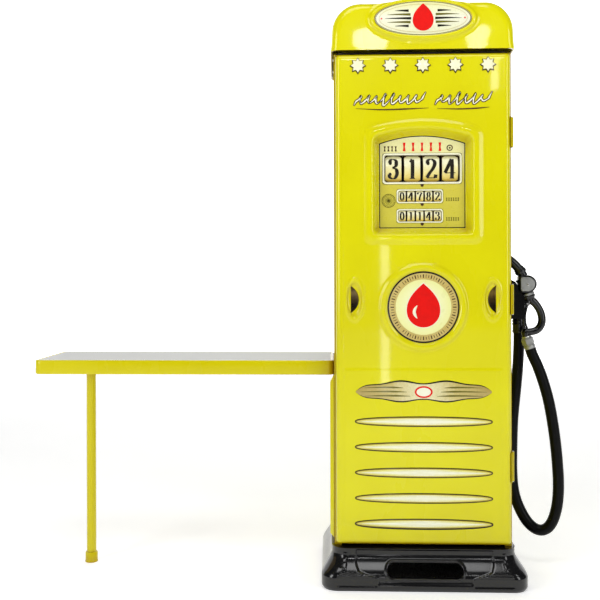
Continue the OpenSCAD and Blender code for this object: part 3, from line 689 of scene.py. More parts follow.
def half_moon(scale, side):
    """Half-moon outline, flat side towards the door's edge; side is 1 on the right."""
    half, depth = 0.0455 * scale, 0.027 * scale
    r = (half * half + depth * depth) / (2 * depth)
    a1 = math.asin(half / r)
    pts = []
    for k in range(25):
        a = -a1 + 2 * a1 * k / 24
        pts.append((-side * (r * math.cos(a) - (r - depth)), r * math.sin(a)))
    pts = [(x + side * 0.0115, z) for x, z in pts]
    flat = [(side * 0.0115, half * (1 - 2 * (k + 1) / 24)) for k in range(23)]
    return pts + flat


# painted shade and a painted golden reflection inside the finger-pull cups: dark brown bands with a gold band a little
# above the middle
PULL_SHADE_AND_REFLECTION = graded("pull_shade_and_reflection", 2, PULL - 0.05, PULL + 0.05, (0.0, (0.06, 0.03, 0.004)), (0.30, (0.012, 0.006, 0.002)),
                    (0.55, (0.16, 0.09, 0.010)), (0.72, (0.42, 0.28, 0.05)), (0.85, (0.20, 0.11, 0.012)),
                    (1.0, (0.05, 0.03, 0.004)))


def finger_pull(side):
    """Dish wall that runs from the oval down into the half-moon opening, and the cup behind it, coloured with painted
    shade and a painted golden reflection.
    """
    moon = half_moon(1.0, side)
    n = len(moon)
    oval = []
    for x, z in moon:
        a = math.atan2(z / 0.069, (x - 0.0) / 0.031)
        oval.append((math.cos(a), math.sin(a)))
    cx = side * PULL_X
    loops = []
    for t, y in ((0.0, None), (0.35, None), (0.7, None), (1.0, None)):
        ring = []
        for (ox, oz), (mx, mz) in zip(oval, moon):
            x = cx + (1 - t) * ox * 0.0235 + t * mx
            z = PULL + (1 - t) * oz * 0.060 + t * mz
            q = math.hypot((abs(x) - PULL_X) / 0.031, (z - PULL) / 0.069)
            h = dish_profile(x, z) if t < 0.01 else -0.0075 * smoothstep(0.98, 0.45, q) * (1 - t) - 0.0062 * t
            ring.append(Vector((x, DOOR_FRONT - h, z)))
        loops.append(ring)
    ob = loft("pull_dish", loops, MAT["yellow_gelcoat"])
    lip = half_moon(0.97, side)
    cup = []
    for scale, y in ((1.0, 0.0060), (0.985, 0.0075), (0.97, 0.012), (0.9, 0.028), (0.5, 0.032)):
        cup.append(xz_loop(half_moon(scale, side), DOOR_FRONT + y, cx, PULL))
    dark = loft("pull_cup", cup, PULL_SHADE_AND_REFLECTION, cap_end=True)
    flip_normals(dark)
    return [ob], [dark]


border = door_border()
face = door_face()
left_dish, left_cup = finger_pull(-1)
right_dish, right_cup = finger_pull(1)
door_skin = join("door_skin", [border, face] + left_dish + right_dish)
finish_piece(door_skin, "door", ["door_panel"])
cups = join("finger_recesses", left_cup + right_cup)
finish_piece(cups, "door", [])


# ---------- dial ----------

DIAL_HW = (DIAL_HI.x - DIAL_LO.x) / 2 - 0.012
DIAL_BASE = DIAL_LO.z + 0.012
DIAL_SHOULDER = DIAL_HI.z - 0.011 - 0.026
DIAL_RISE = 0.026
DIAL_FACE = DIAL_LO.y


def arch_loop(grow, y, r):
    """Outline of the dial grown outwards, with a gently bowed top edge."""
    hw = DIAL_HW + grow
    z0, z1 = DIAL_BASE - grow, DIAL_SHOULDER + grow * 0.86
    rise = DIAL_RISE + grow * 0.12
    out = []
    for x, z in rounded_rect(2 * hw, z1 - z0, r, 8):
        z += (z0 + z1) / 2
        top = smoothstep(z1 - 0.04, z1, z)
        out.append(Vector((x, y, z + rise * top * max(0.0, 1 - (x / hw) ** 2))))
    return out


def dense(loop, per=6):
    """More points along the straight runs, so that the bowed edge stays smooth."""
    out = []
    n = len(loop)
    for i in range(n):
        a, b = loop[i], loop[(i + 1) % n]
        out.append(a)
        long_run = (i + 1) % 9 == 0
        if long_run:
            out += [a.lerp(b, k / 24) for k in range(1, 24)]
    return out


def arch_dense(grow, y, r):
    hw = DIAL_HW + grow
    z0, z1 = DIAL_BASE - grow, DIAL_SHOULDER + grow * 0.86
    rise = DIAL_RISE + grow * 0.12
    flat = [Vector((x, y, z + (z0 + z1) / 2)) for x, z in rounded_rect(2 * hw, z1 - z0, r, 8)]
    out = []
    for p in dense(flat):
        top = smoothstep(z1 - 0.05, z1, p.z)
        out.append(Vector((p.x, y, p.z + rise * top * max(0.0, 1 - (p.x / hw) ** 2))))
    return out


rim_steps = [(0.058, 0.0002, 0.030), (0.054, -0.0004, 0.029), (0.049, -0.0022, 0.028), (0.043, -0.0048, 0.027),
             (0.036, -0.0064, 0.025), (0.029, -0.0068, 0.023), (0.024, -0.0058, 0.021), (0.020, -0.0030, 0.018),
             (0.0165, 0.0020, 0.015), (0.012, 0.0105, 0.011), (0.0075, 0.0195, 0.008), (0.003, 0.0270, 0.005),
             (0.0005, 0.0300, 0.004), (-0.001, 0.0305, 0.003)]
rim = loft("dial_rim", [arch_dense(g, DOOR_FRONT + y, r) for g, y, r in rim_steps], MAT["yellow_gelcoat"], sharp=60)
finish_piece(rim, "door", ["dial_surround"])

plate_line = loft("dial_line", [arch_dense(g, DIAL_FACE - 0.0006, 0.003) for g in (0.0, -0.0042)], INK)
frame["nodes"]["dial_plate"].data.materials[0] = GOLD_FACE


def frame_ring(x0, x1, z, half, width, y, mat, height=0.0015, r=0.007):
    """Bead round a window: width across, height proud of the plate."""
    cx, w = (x0 + x1) / 2, x1 - x0
    prof = [(0.0, 0.0), (0.0, height * 0.7), (width * 0.25, height), (width * 0.75, height), (width, height * 0.6),
            (width, 0.0)]
    loops = []
    for o, h in prof:
        outline = rounded_rect(w + 2 * o, 2 * half + 2 * o, r + o * 0.5, 6)
        loops.append(xz_loop(outline, y - h, cx, z))
    return loft("window_frame", loops, mat, sharp=45)


NIB_WIDE, NIB_THIN = 0.150, 0.030


def oval_path(cx, cy, rx, ry, n=40):
    return [(cx + rx * math.cos(2 * math.pi * k / n), cy + ry * math.sin(2 * math.pi * k / n)) for k in range(n + 1)]


FIGURES = {
    "0": [oval_path(0.5, 0.75, 0.30, 0.70)],
    "1": [[(0.52, 0.03), (0.52, 1.44)], [(0.30, 0.03), (0.74, 0.03)], [(0.28, 1.28), (0.42, 1.36), (0.50, 1.46)]],
    "2": [[(0.20, 1.12), (0.25, 1.36), (0.5, 1.47), (0.76, 1.30), (0.78, 1.04), (0.62, 0.72), (0.36, 0.40), (0.15, 0.07)],
          [(0.14, 0.06), (0.5, 0.06), (0.84, 0.06)], [(0.84, 0.06), (0.88, 0.30)]],
    "3": [[(0.20, 1.18), (0.28, 1.40), (0.48, 1.47), (0.72, 1.32), (0.70, 0.98), (0.42, 0.81)],
          [(0.42, 0.81), (0.72, 0.70), (0.80, 0.38), (0.64, 0.08), (0.42, 0.02), (0.20, 0.14), (0.17, 0.34)]],
    "4": [[(0.62, 1.46), (0.35, 0.94), (0.08, 0.42)], [(0.08, 0.42), (0.5, 0.42), (0.94, 0.42)],
          [(0.66, 1.46), (0.66, 0.03)], [(0.46, 0.03), (0.86, 0.03)]],
    "7": [[(0.14, 1.10), (0.17, 1.42)], [(0.15, 1.42), (0.5, 1.42), (0.87, 1.42)],
          [(0.86, 1.40), (0.64, 0.96), (0.50, 0.50), (0.47, 0.04)]],
    "8": [oval_path(0.5, 1.10, 0.235, 0.355), oval_path(0.5, 0.38, 0.30, 0.365)],
}
BALLS = {"2": [(0.24, 1.13)], "3": [(0.24, 1.16), (0.22, 0.34)]}


def nib_strokes(strokes, balls, wide, thin):
    """Flat outline faces of strokes drawn with a wide level nib; returns 2-D points and faces."""
    pts, faces = [], []
    for stroke in strokes:
        path = catmull([(x, y, 0) for x, y in stroke], 6) if len(stroke) > 2 else [
            Vector((*stroke[0], 0)).lerp(Vector((*stroke[1], 0)), k / 6) for k in range(7)]
        start = len(pts)
        for i, p in enumerate(path):
            t = (path[min(i + 1, len(path) - 1)] - path[max(i - 1, 0)]).normalized()
            nrm = Vector((-t.y, t.x, 0))
            h = math.hypot(wide * nrm.x, thin * nrm.y)
            pts += [p + nrm * h, p - nrm * h]
        for i in range(len(path) - 1):
            a = start + 2 * i
            faces.append((a, a + 1, a + 3, a + 2))
    for cx, cy in balls:
        start = len(pts)
        pts.append(Vector((cx, cy, 0)))
        for k in range(14):
            a = 2 * math.pi * k / 14
            pts.append(Vector((cx + wide * 0.85 * math.cos(a), cy + wide * 0.85 * math.sin(a), 0)))
        for k in range(14):
            faces.append((start, start + 1 + k, start + 1 + (k + 1) % 14))
    return pts, faces


def figure(ch, cx, cz, width, height, drum_front, drum_r, mat, proud=0.0004):
    """One figure wrapped on the face of a drum."""
    pts, faces = nib_strokes(FIGURES[ch], BALLS.get(ch, ()), NIB_WIDE, NIB_THIN)
    verts = []
    for p in pts:
        x = cx + (p.x - 0.5) * width
        dz = (p.y - 0.75) * height / 1.5
        back = drum_r - math.sqrt(drum_r * drum_r - dz * dz)
        verts.append(Vector((x, drum_front + back - proud, cz + dz)))
    ob = add_mesh("figure", verts, faces, mat, smooth=False)
    return ob


def drum_row(node, text, count_pitch, width, height, radius, mat):
    a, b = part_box(node)
    cz = (a.z + b.z) / 2
    n = len(text)
    tile = (b.x - a.x - count_pitch * (n - 1))
    out = []
    for i, ch in enumerate(text):
        cx = a.x + tile / 2 + count_pitch * i
        out.append(figure(ch, cx, cz, width, height, a.y, radius, mat))
    return out


COST_MID, LITRE_MID, GALLON_MID = mid("cost_drums"), mid("litre_drums"), mid("gallon_drums")


# painted shade on each drum's curve: dark amber at the foot of the face, rising to pale cream near the top and a little
# darker again at the top edge
def drum_face(name, cz, half):
    return graded(name, 2, cz - half, cz + half, (0.0, (0.60, 0.36, 0.03)), (0.14, (0.76, 0.58, 0.09)),
                  (0.42, (0.84, 0.76, 0.34)), (0.75, (0.88, 0.87, 0.62)), (1.0, (0.80, 0.74, 0.36)))


def tile(cx, cz, half_w, half_h, radius, front, drum_r, mat, lens_side=0.0):
    """Number tile: a rounded plate that follows the drum, with sides bowed in a little."""
    rows, cols = 14, 8
    verts, faces = [], []
    for j in range(rows + 1):
        dz = -half_h + 2 * half_h * j / rows
        over = max(abs(dz) - (half_h - radius), 0.0)
        pull = radius - math.sqrt(max(radius * radius - over * over, 0.0))
        w = half_w - pull + lens_side * (1 - (dz / half_h) ** 2)
        back = drum_r - math.sqrt(drum_r * drum_r - dz * dz)
        for i in range(cols + 1):
            x = cx - w + 2 * w * i / cols
            lift = 0.0005 * (1 - (2 * i / cols - 1) ** 6)
            verts.append(Vector((x, front + back - lift, cz + dz)))
    for j in range(rows):
        for i in range(cols):
            a = j * (cols + 1) + i
            faces.append((a, a + 1, a + cols + 2, a + cols + 1))
    ob = add_mesh("tile", verts, faces, mat)
    if ob.data.polygons[0].normal.y > 0:
        flip_normals(ob)
    return ob


def drum_row(node, text, tile_pitch, size, height, radius, tile_half, face):
    """A row of tiles with their figures; the tile pitch and the row's node give the places."""
    a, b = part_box(node)
    cz = (a.z + b.z) / 2
    width = b.x - a.x - tile_pitch * (len(text) - 1)
    out = []
    for i, ch in enumerate(text):
        cx = a.x + width / 2 + tile_pitch * i
        bow = 0.0012 if i < len(text) - 1 else -0.0006
        out.append(tile(cx, cz, width / 2 - 0.0012 + bow, tile_half, 0.16 * width, a.y - 0.0002, radius, face, -bow))
        out.append(figure(ch, cx, cz, size, height, a.y, radius, INK, 0.0013))
    return out


# the drums are coloured dark brown, which shows between the tiles as painted shade between the wheels
for node_name in ("cost_drums", "litre_drums", "gallon_drums"):
    frame["nodes"][node_name].data.materials[0] = BROWN_PRINT_AND_SHADE

figures = drum_row("cost_drums", "3124", 0.064, 0.041, 0.068, 0.092, 0.0435, drum_face("cost_face", COST_MID.z, 0.045))
figures += drum_row("litre_drums", "04782", 0.030, 0.0185, 0.0285, 0.034, 0.0182,
                    drum_face("litre_face", LITRE_MID.z, 0.019))
figures += drum_row("gallon_drums", "01143", 0.030, 0.0185, 0.0285, 0.034, 0.0182,
                    drum_face("gallon_face", GALLON_MID.z, 0.019))
finish_piece(join("counter_figures", figures), "door", [])

rings = [plate_line]
rings.append(frame_ring(-0.127, 0.127, COST_MID.z, 0.045, 0.0070, DIAL_FACE, PALE_PRINT_AND_HIGHLIGHT, 0.0020))
rings.append(frame_ring(-0.134, 0.134, COST_MID.z, 0.052, 0.0013, DIAL_FACE, OLIVE_INK, 0.0012, 0.009))
rings.append(frame_ring(-0.1275, 0.1275, COST_MID.z, 0.0455, 0.0010, DIAL_FACE - 0.0012, BROWN_PRINT_AND_SHADE, 0.0012, 0.006))
for z in (LITRE_MID.z, GALLON_MID.z):
    rings.append(frame_ring(-0.082, 0.066, z, 0.019, 0.0042, DIAL_FACE, PALE_PRINT_AND_HIGHLIGHT, 0.0018))
    rings.append(frame_ring(-0.0862, 0.0702, z, 0.0232, 0.0011, DIAL_FACE, OLIVE_INK, 0.0012, 0.007))


def patch(outline, y, mat, name="patch"):
    """Flat shape, as (x, z) points, facing forwards: print, and painted shade such as the screw slot."""
    cx = sum(p[0] for p in outline) / len(outline)
    cz = sum(p[1] for p in outline) / len(outline)
    verts = [Vector((cx, y, cz))] + [Vector((x, y, z)) for x, z in outline]
    n = len(outline)
    faces = [(0, 1 + k, 1 + (k + 1) % n) for k in range(n)]
    ob = add_mesh(name, verts, faces, mat, smooth=False)
    if ob.data.polygons[0].normal.y > 0:
        flip_normals(ob)
    return ob


def disc(cx, cz, r, y, mat, n=40):
    return patch([(cx + r * math.cos(2 * math.pi * k / n), cz + r * math.sin(2 * math.pi * k / n)) for k in range(n)],
                 y, mat)


def tick(cx, z0, z1, w, y, mat, waist=0.62):
    """Upright mark that narrows at its middle."""
    zc = (z0 + z1) / 2
    return patch([(cx - w, z0), (cx + w, z0), (cx + w * waist, zc), (cx + w, z1), (cx - w, z1), (cx - w * waist, zc)],
                 y, mat)


def ring_line(cx, cz, r, w, y, mat, n=48):
    verts = []
    for k in range(n):
        a = 2 * math.pi * k / n
        verts += [Vector((cx + (r - w) * math.cos(a), y, cz + (r - w) * math.sin(a))),
                  Vector((cx + r * math.cos(a), y, cz + r * math.sin(a)))]
    ob = add_mesh("ring_line", verts, [(2 * k, 2 * ((k + 1) % n), 2 * ((k + 1) % n) + 1, 2 * k + 1) for k in range(n)],
                  mat, smooth=False)
    if ob.data.polygons[0].normal.y > 0:
        flip_normals(ob)
    return ob


print_y = DIAL_FACE - 0.0006
marks = [tick(-0.0605 + 0.0302 * k, 1.4695, 1.4985, 0.0046, print_y, RED_INK, 0.5) for k in range(5)]
marks += [tick(-0.1265 + 0.0125 * k, 1.4690, 1.4865, 0.0034, print_y, BROWN_PRINT_AND_SHADE, 0.35) for k in range(4)]
marks += [ring_line(0.0935, 1.4800, 0.0105, 0.0034, print_y, BROWN_PRINT_AND_SHADE), disc(0.0935, 1.4800, 0.0032, print_y, BROWN_PRINT_AND_SHADE, 16)]
for z in (LITRE_MID.z, GALLON_MID.z):
    marks += [tick(0.0830 + 0.0078 * k, z - 0.0165, z - 0.0050, 0.0024, print_y, OLIVE_INK, 0.4) for k in range(6)]
SEAL_X, SEAL_Z = -0.1135, 1.3010
for r, w in ((0.0235, 0.0016), (0.0180, 0.0010), (0.0130, 0.0010)):
    marks.append(ring_line(SEAL_X, SEAL_Z, r, w, print_y, OLIVE_INK))
for k in range(24):
    a = 2 * math.pi * k / 24
    marks.append(disc(SEAL_X + 0.0206 * math.cos(a), SEAL_Z + 0.0206 * math.sin(a), 0.0013, print_y, OLIVE_INK, 8))
for k in range(6):
    a = math.pi * k / 6
    dx, dz = 0.0105 * math.cos(a), 0.0105 * math.sin(a)
    nx, nz = -0.0009 * math.sin(a), 0.0009 * math.cos(a)
    marks.append(patch([(SEAL_X - dx - nx, SEAL_Z - dz - nz), (SEAL_X + dx - nx, SEAL_Z + dz - nz),
                        (SEAL_X + dx + nx, SEAL_Z + dz + nz), (SEAL_X - dx + nx, SEAL_Z - dz + nz)], print_y, OLIVE_INK))
for z in (COST_MID.z - 0.0535, LITRE_MID.z - 0.0245, GALLON_MID.z - 0.0245):
    marks.append(patch([(-0.0065, z), (0.0, z - 0.0100), (0.0065, z)], print_y - 0.0004, BROWN_PRINT_AND_SHADE))
    marks.append(ring_line(0.0, z - 0.0030, 0.0052, 0.0016, print_y - 0.0006, BROWN_PRINT_AND_SHADE, 20))
finish_piece(join("dial_print", rings + marks), "door", [])


# ---------- emblem ----------

def ring_flat(cx, cz, r0, r1, y, mat, n=96):
    verts = []
    for k in range(n):
        a = 2 * math.pi * k / n
        verts += [Vector((cx + r0 * math.cos(a), y, cz + r0 * math.sin(a))),
                  Vector((cx + r1 * math.cos(a), y, cz + r1 * math.sin(a)))]
    faces = [(2 * k, 2 * ((k + 1) % n), 2 * ((k + 1) % n) + 1, 2 * k + 1) for k in range(n)]
    ob = add_mesh("ring_flat", verts, faces, mat, smooth=False)
    if ob.data.polygons[0].normal.y > 0:
        flip_normals(ob)
    return ob


EMBLEM_Y = lo("emblem_plate").y
frame["nodes"]["emblem_plate"].data.materials[0] = radial(
    "emblem_field", (0, EMBLEM.z), EMBLEM_R, (0.0, (0.88, 0.90, 0.66)), (0.45, (0.88, 0.90, 0.50)),
    (0.76, (0.84, 0.84, 0.34)), (1.0, (0.50, 0.42, 0.12)))
DROP_TOP, DROP_R = 0.092, 0.056


def drop_outline(scale, cz):
    """A pointed oil drop: a round belly drawn up to a fine tip."""
    out = []
    for k in range(72):
        a = 2 * math.pi * k / 72
        x = math.sin(a) * DROP_R
        z = -math.cos(a) * DROP_R
        if z > -0.1 * DROP_R:
            u = (z + 0.1 * DROP_R) / (1.1 * DROP_R)
            x *= (1 - u) ** 0.55 * (1 + 0.6 * u)
            z = -0.1 * DROP_R + u * (DROP_TOP + 0.1 * DROP_R)
        out.append((x * scale, cz + (z - 0.012) * scale))
    return out


emblem = [ring_flat(0, EMBLEM.z, EMBLEM_R - 0.0058, EMBLEM_R - 0.0003, EMBLEM_Y - 0.0006, INK),
          ring_flat(0, EMBLEM.z, 0.0935, EMBLEM_R - 0.0058, EMBLEM_Y - 0.0005, TAN_INK),
          patch(drop_outline(1.045, EMBLEM.z + 0.0008), EMBLEM_Y - 0.0005, PALE_PRINT_AND_HIGHLIGHT),
          patch(drop_outline(1.0, EMBLEM.z), EMBLEM_Y - 0.0009, RED_INK)]
for k in range(72):
    a = 2 * math.pi * k / 72
    if k % 18 == 9:
        continue
    r0, r1, w = ((0.0985, 0.1105, 0.018), (0.1000, 0.1090, 0.012), (0.0985, 0.1105, 0.009))[k % 3]
    emblem.append(patch([(r0 * math.cos(a - w), EMBLEM.z + r0 * math.sin(a - w)),
                         (r1 * math.cos(a - w), EMBLEM.z + r1 * math.sin(a - w)),
                         (r1 * math.cos(a + w), EMBLEM.z + r1 * math.sin(a + w)),
                         (r0 * math.cos(a + w), EMBLEM.z + r0 * math.sin(a + w))], EMBLEM_Y - 0.0009, BROWN_PRINT_AND_SHADE))
glint = [(-0.031 + 0.0052 * math.cos(t) + 0.010 * (math.sin(t) ** 2), EMBLEM.z - 0.016 + 0.022 * math.sin(t))
         for t in (2 * math.pi * k / 28 for k in range(28))]
emblem.append(patch(glint, EMBLEM_Y - 0.0012, PALE_PRINT_AND_HIGHLIGHT))
finish_piece(join("drop_emblem", emblem), "door", [])


# ---------- louvre trims with painted shade and highlight, studs and printed bands ---

def lens(x0, x1, cz, half, back, front, mat, edge=0.35, name="trim"):
    """Long domed strip with rounded ends."""
    w = x1 - x0
    loops = []
    for inset, t in ((0.0, 0.0), (0.0, 0.5), (0.10, 0.82), (0.28, 0.97), (0.55, 1.0), (0.9, 1.0)):
        outline = rounded_rect(w - 2 * inset * half * edge * 2, 2 * half * (1 - inset), half * (1 - inset) * 0.96, 10)
        loops.append(xz_loop(outline, back + (front - back) * t, (x0 + x1) / 2, cz))
    return loft(name, loops, mat, cap_end=True)


trim_lo, trim_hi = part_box("louver_trims")
TRIM_RISE = 0.0175
TRIM_L = (trim_hi.x - trim_lo.x) / 2
count = 5
pitch = (trim_hi.z - trim_lo.z - 2 * TRIM_RISE) / (count - 1)


def long_oval(length, half, power, y0, y1, cz, mat, n=72):
    """Long domed oval with fine ends; power sets how drawn-out the ends are."""
    loops = []
    for s, t in ((1.0, 0.0), (1.0, 0.4), (0.86, 0.8), (0.6, 1.0), (0.2, 1.08)):
        ring = []
        for k in range(n):
            a = 2 * math.pi * k / n
            x = length * math.cos(a)
            z = half * math.copysign(abs(math.sin(a)) ** power, math.sin(a))
            ring.append(Vector((x * (1 - (1 - s) * half / length), y0 + (y1 - y0) * t, cz + z * s)))
        loops.append(ring)
    return loft("long_oval", loops, mat, cap_end=True, sharp=70)


trims = []
for k in range(count):
    z = trim_lo.z + TRIM_RISE + pitch * k
    h = DOOR_FRONT - trim_lo.y
    # from the outline inwards: length and rise less than the trim's, drawn-out ends, depth, shade band; a dark outline,
    # then painted shade in bronze, gold and the graded face, then a pale painted highlight along the middle
    for short, low, power, depth, shade_band in ((-0.0012, -0.0026, 0.72, 0.36, INK), (0.0020, 0.0004, 0.80, 0.46, TRIM_SHADE_BRONZE),
                                          (0.0052, 0.0032, 0.95, 0.58, TRIM_SHADE_GOLD), (0.0095, 0.0056, 1.15, 0.74, TRIM_FACE),
                                          (0.0200, 0.0110, 1.60, 0.90, PALE_PRINT_AND_HIGHLIGHT)):
        trims.append(long_oval(TRIM_L - short, TRIM_RISE - low, power, DOOR_FRONT, DOOR_FRONT - depth * h, z, shade_band))
louvres = join("louvre_trims", trims)
finish_piece(louvres, "door", ["louver_trims"])

star_lo, star_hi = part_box("star_studs")
STAR_R = (star_hi.z - star_lo.z) / 2
star_z = (star_hi.z + star_lo.z) / 2


def star_loop(r, inner, y, cx, points=8):
    loop = []
    for k in range(2 * points):
        a = math.pi * k / points
        q = r if k % 2 == 0 else r * inner
        loop.append(Vector((cx + q * math.sin(a), y, star_z + q * math.cos(a))))
    return loop


studs = []
star_pitch = (star_hi.x - star_lo.x - 2 * STAR_R) / 4
for k in range(5):
    cx = star_lo.x + STAR_R + star_pitch * k
    # dark star outline, moved down a little so that it also stands below the cream star as a painted drop shadow
    dark = loft("stud_outline_and_shadow", [star_loop(STAR_R * s, 0.66, DOOR_FRONT - h, cx)
                              for s, h in ((1.08, 0.0), (1.08, 0.0012), (0.9, 0.0013))], INK, sharp=30)
    for v in dark.data.vertices:
        v.co.z -= 0.0015
    fill = loft("stud", [star_loop(STAR_R * s, 0.66, DOOR_FRONT - h, cx)
                         for s, h in ((0.92, 0.0008), (0.92, 0.0020), (0.82, 0.0030), (0.02, 0.0048))],
                MAT["cream_print"], cap_end=True, sharp=20)
    studs += [dark, fill]
finish_piece(join("stud_row", studs), "door", ["star_studs"])


def flourish(points, widths, y, mat, steps=8):
    """Calligraphic stroke whose width swells and thins along the way."""
    path = catmull([(x, 0, z) for x, z in points], steps)
    n = len(path)
    verts, faces = [], []
    for i, p in enumerate(path):
        t = (path[min(i + 1, n - 1)] - path[max(i - 1, 0)]).normalized()
        nrm = Vector((-t.z, 0, t.x))
        u = i / (n - 1) * (len(widths) - 1)
        a = int(min(u, len(widths) - 2))
        w = widths[a] + (widths[a + 1] - widths[a]) * (u - a)
        for s in (-1, 1):
            q = p + nrm * w * s
            verts.append(Vector((q.x, y, q.z)))
    for i in range(n - 1):
        faces.append((2 * i, 2 * i + 1, 2 * i + 3, 2 * i + 2))
    ob = add_mesh("flourish", verts, faces, mat, smooth=False)
    return ob


SCROLL_Z = (lo("script_upper").z + hi("script_upper").z) / 2
scroll_y = DOOR_FRONT - 0.0009
SLANT = 0.55


def wave_run(x0, x1, turns, height, phase):
    """Points of a slanted running wave that dies away at both ends."""
    pts = []
    n = turns * 4
    for k in range(n + 1):
        u = k / n
        swell = height * (0.55 + 0.45 * math.sin(math.pi * u)) * (1.0 + 0.25 * math.sin(5 * math.pi * u + phase))
        z = swell * math.sin(math.pi * k / 2)
        x = x0 + (x1 - x0) * u + 0.0045 * math.cos(math.pi * k / 2)
        pts.append((x + SLANT * z, SCROLL_Z + z))
    return pts


scroll = []
for x0, x1, turns, height, phase in ((-0.220, -0.008, 8, 0.0165, 0.4), (0.052, 0.214, 6, 0.0175, 2.1)):
    run = wave_run(x0, x1, turns, height, phase)
    lead = [(x0 - 0.012, SCROLL_Z - 0.020), (x0 - 0.004, SCROLL_Z - 0.006)]
    tail = [(x1 + 0.008, SCROLL_Z + 0.006), (x1 + 0.018, SCROLL_Z + 0.024)]
    widths = [0.0028, 0.0052, 0.0040, 0.0054] * turns + [0.0024]
    core = [max(w - 0.0027, 0.0001) for w in widths]
    scroll.append(flourish(lead + run + tail, widths, scroll_y, BROWN_PRINT_AND_SHADE, 6))
    scroll.append(flourish(lead + run + tail, core, scroll_y - 0.0003, PALE_PRINT_AND_HIGHLIGHT, 6))
sweeps = [[(-0.226, SCROLL_Z - 0.030), (-0.140, SCROLL_Z - 0.0345), (-0.060, SCROLL_Z - 0.0330), (0.020, SCROLL_Z - 0.0300)],
          [(0.048, SCROLL_Z - 0.0325), (0.120, SCROLL_Z - 0.0345), (0.180, SCROLL_Z - 0.0325), (0.222, SCROLL_Z - 0.0290)]]
for line in sweeps:
    scroll.append(flourish(line, [0.0004, 0.0018, 0.0022, 0.0004], scroll_y, BROWN_PRINT_AND_SHADE, 10))
finish_piece(join("scroll_band", scroll), "door", ["script_upper"])

BAND_LO, BAND_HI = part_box("script_lower")
BAND_Z = (BAND_LO.z + BAND_HI.z) / 2


def wing(scale_x, scale_z, back, front, mat):
    """Long flat wing with pointed ends and a waist, domed slightly."""
    n = 40
    outline = []
    for k in range(n + 1):
        x = -1 + 2 * k / n
        half = (0.62 - 0.10 * math.cos(3 * math.pi * x)) * (1 - abs(x) ** 6) + 0.05
        outline.append((x * scale_x, half * scale_z))
    outline += [(x, -z * 0.9) for x, z in reversed(outline)]
    loops = []
    for s, t in ((1.0, 0.0), (1.0, 0.5), (0.9, 0.9), (0.7, 1.0), (0.3, 1.05)):
        loops.append([Vector((x * (0.5 + 0.5 * s) if s < 1 else x, back + (front - back) * t, BAND_Z + z * s))
                      for x, z in outline])
    return loft("wing", loops, mat, cap_end=True)


wing_parts = [wing(0.236, 0.064, DOOR_FRONT + 0.0003, DOOR_FRONT - 0.0010, MAT["cream_print"]),
              wing(0.232, 0.054, DOOR_FRONT + 0.0003, DOOR_FRONT - 0.0016, INK),
              wing(0.227, 0.044, DOOR_FRONT - 0.0010, BAND_LO.y, BAND_FACE)]
for k in range(3):
    for s in (-1, 1):
        z = BAND_Z - 0.014 + 0.014 * k
        pts = [(s * (0.045 + 0.012 * k), z), (s * 0.12, z + 0.0015), (s * (0.212 - 0.014 * abs(k - 1)), z)]
        wing_parts.append(flourish(pts, [0.0006, 0.0030, 0.0022, 0.0004], BAND_LO.y - 0.0004, OLIVE_INK))
wing_parts.append(patch([(0.030 * math.cos(2 * math.pi * k / 36), BAND_Z + 0.020 * math.sin(2 * math.pi * k / 36))
                         for k in range(36)], BAND_LO.y - 0.0005, RED_INK))
wing_parts.append(patch([(0.024 * math.cos(2 * math.pi * k / 36), BAND_Z + 0.0145 * math.sin(2 * math.pi * k / 36))
                         for k in range(36)], BAND_LO.y - 0.0008, PALE_PRINT_AND_HIGHLIGHT))
finish_piece(join("wing_band", wing_parts), "door", ["script_lower"])


# ---------- head ----------

HEAD_LO, HEAD_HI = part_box("head_cap")
HEAD_HW = 0.3065
HEAD_FLARE = 0.003
HEAD_FRONT = DOOR_FRONT - 0.006
HEAD_BACK = HEAD_HI.y - 0.0005
SHOULDER_Z = HEAD_HI.z - 0.008
HEAD_R = 0.088
HEAD_EDGE = 0.027
BADGE_LO, BADGE_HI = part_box("badge_plate")
BADGE_Z = (BADGE_LO.z + BADGE_HI.z) / 2
BADGE_HX = (BADGE_HI.x - BADGE_LO.x) / 2
BADGE_HZ = (BADGE_HI.z - BADGE_LO.z) / 2
BOSS_HX, BOSS_HZ = 0.175, 0.068


def head_section(y, inset, wall):
    """Closed outline of the head across its width: flared foot, upright sides, well-rounded shoulders."""
    hw, z0, z1 = HEAD_HW - inset - wall, HEAD_LO.z, SHOULDER_Z - inset - wall
    r = HEAD_R
    side = []
    for k in range(11):
        u = k / 10
        side.append((hw + HEAD_FLARE * (1 - smoothstep(0.0, 0.5, u)), z0 + (z1 - r - z0) * u))
    arc = [(hw - r + r * math.cos(a), z1 - r + r * math.sin(a)) for a in (math.pi / 2 * k / 12 for k in range(1, 13))]
    lean = 0.0065
    half = [(x - lean * smoothstep(0.15, 1.0, (z - z0) / (z1 - z0)), z) for x, z in side + arc]
    top = [(hw - r - 2 * (hw - r) * k / 12, z1) for k in range(1, 12)]
    outline = half + top + [(-x, z) for x, z in reversed(half)]
    return [Vector((x, y, z)) for x, z in outline]


def head_loops(wall):
    y0, y1, r = HEAD_FRONT + wall, HEAD_BACK - wall, HEAD_EDGE
    loops = []
    for k in range(10):
        a = math.pi / 2 * k / 9
        loops.append(head_section(y0 + r * (1 - math.sin(a)), r * (1 - math.cos(a)), wall))
    loops = loops[::-1]
    loops = [head_section(y0 + r * (1 - math.cos(a)), r * (1 - math.sin(a)), wall)
             for a in (math.pi / 2 * k / 9 for k in range(10))]
    loops += [head_section(y0 + r + (y1 - y0 - 2 * r) * k / 6, 0, wall) for k in range(1, 6)]
    loops += [head_section(y1 - r * (1 - math.cos(a)), r * (1 - math.sin(a)), wall)
              for a in (math.pi / 2 * k / 9 for k in range(9, -1, -1))]
    return loops


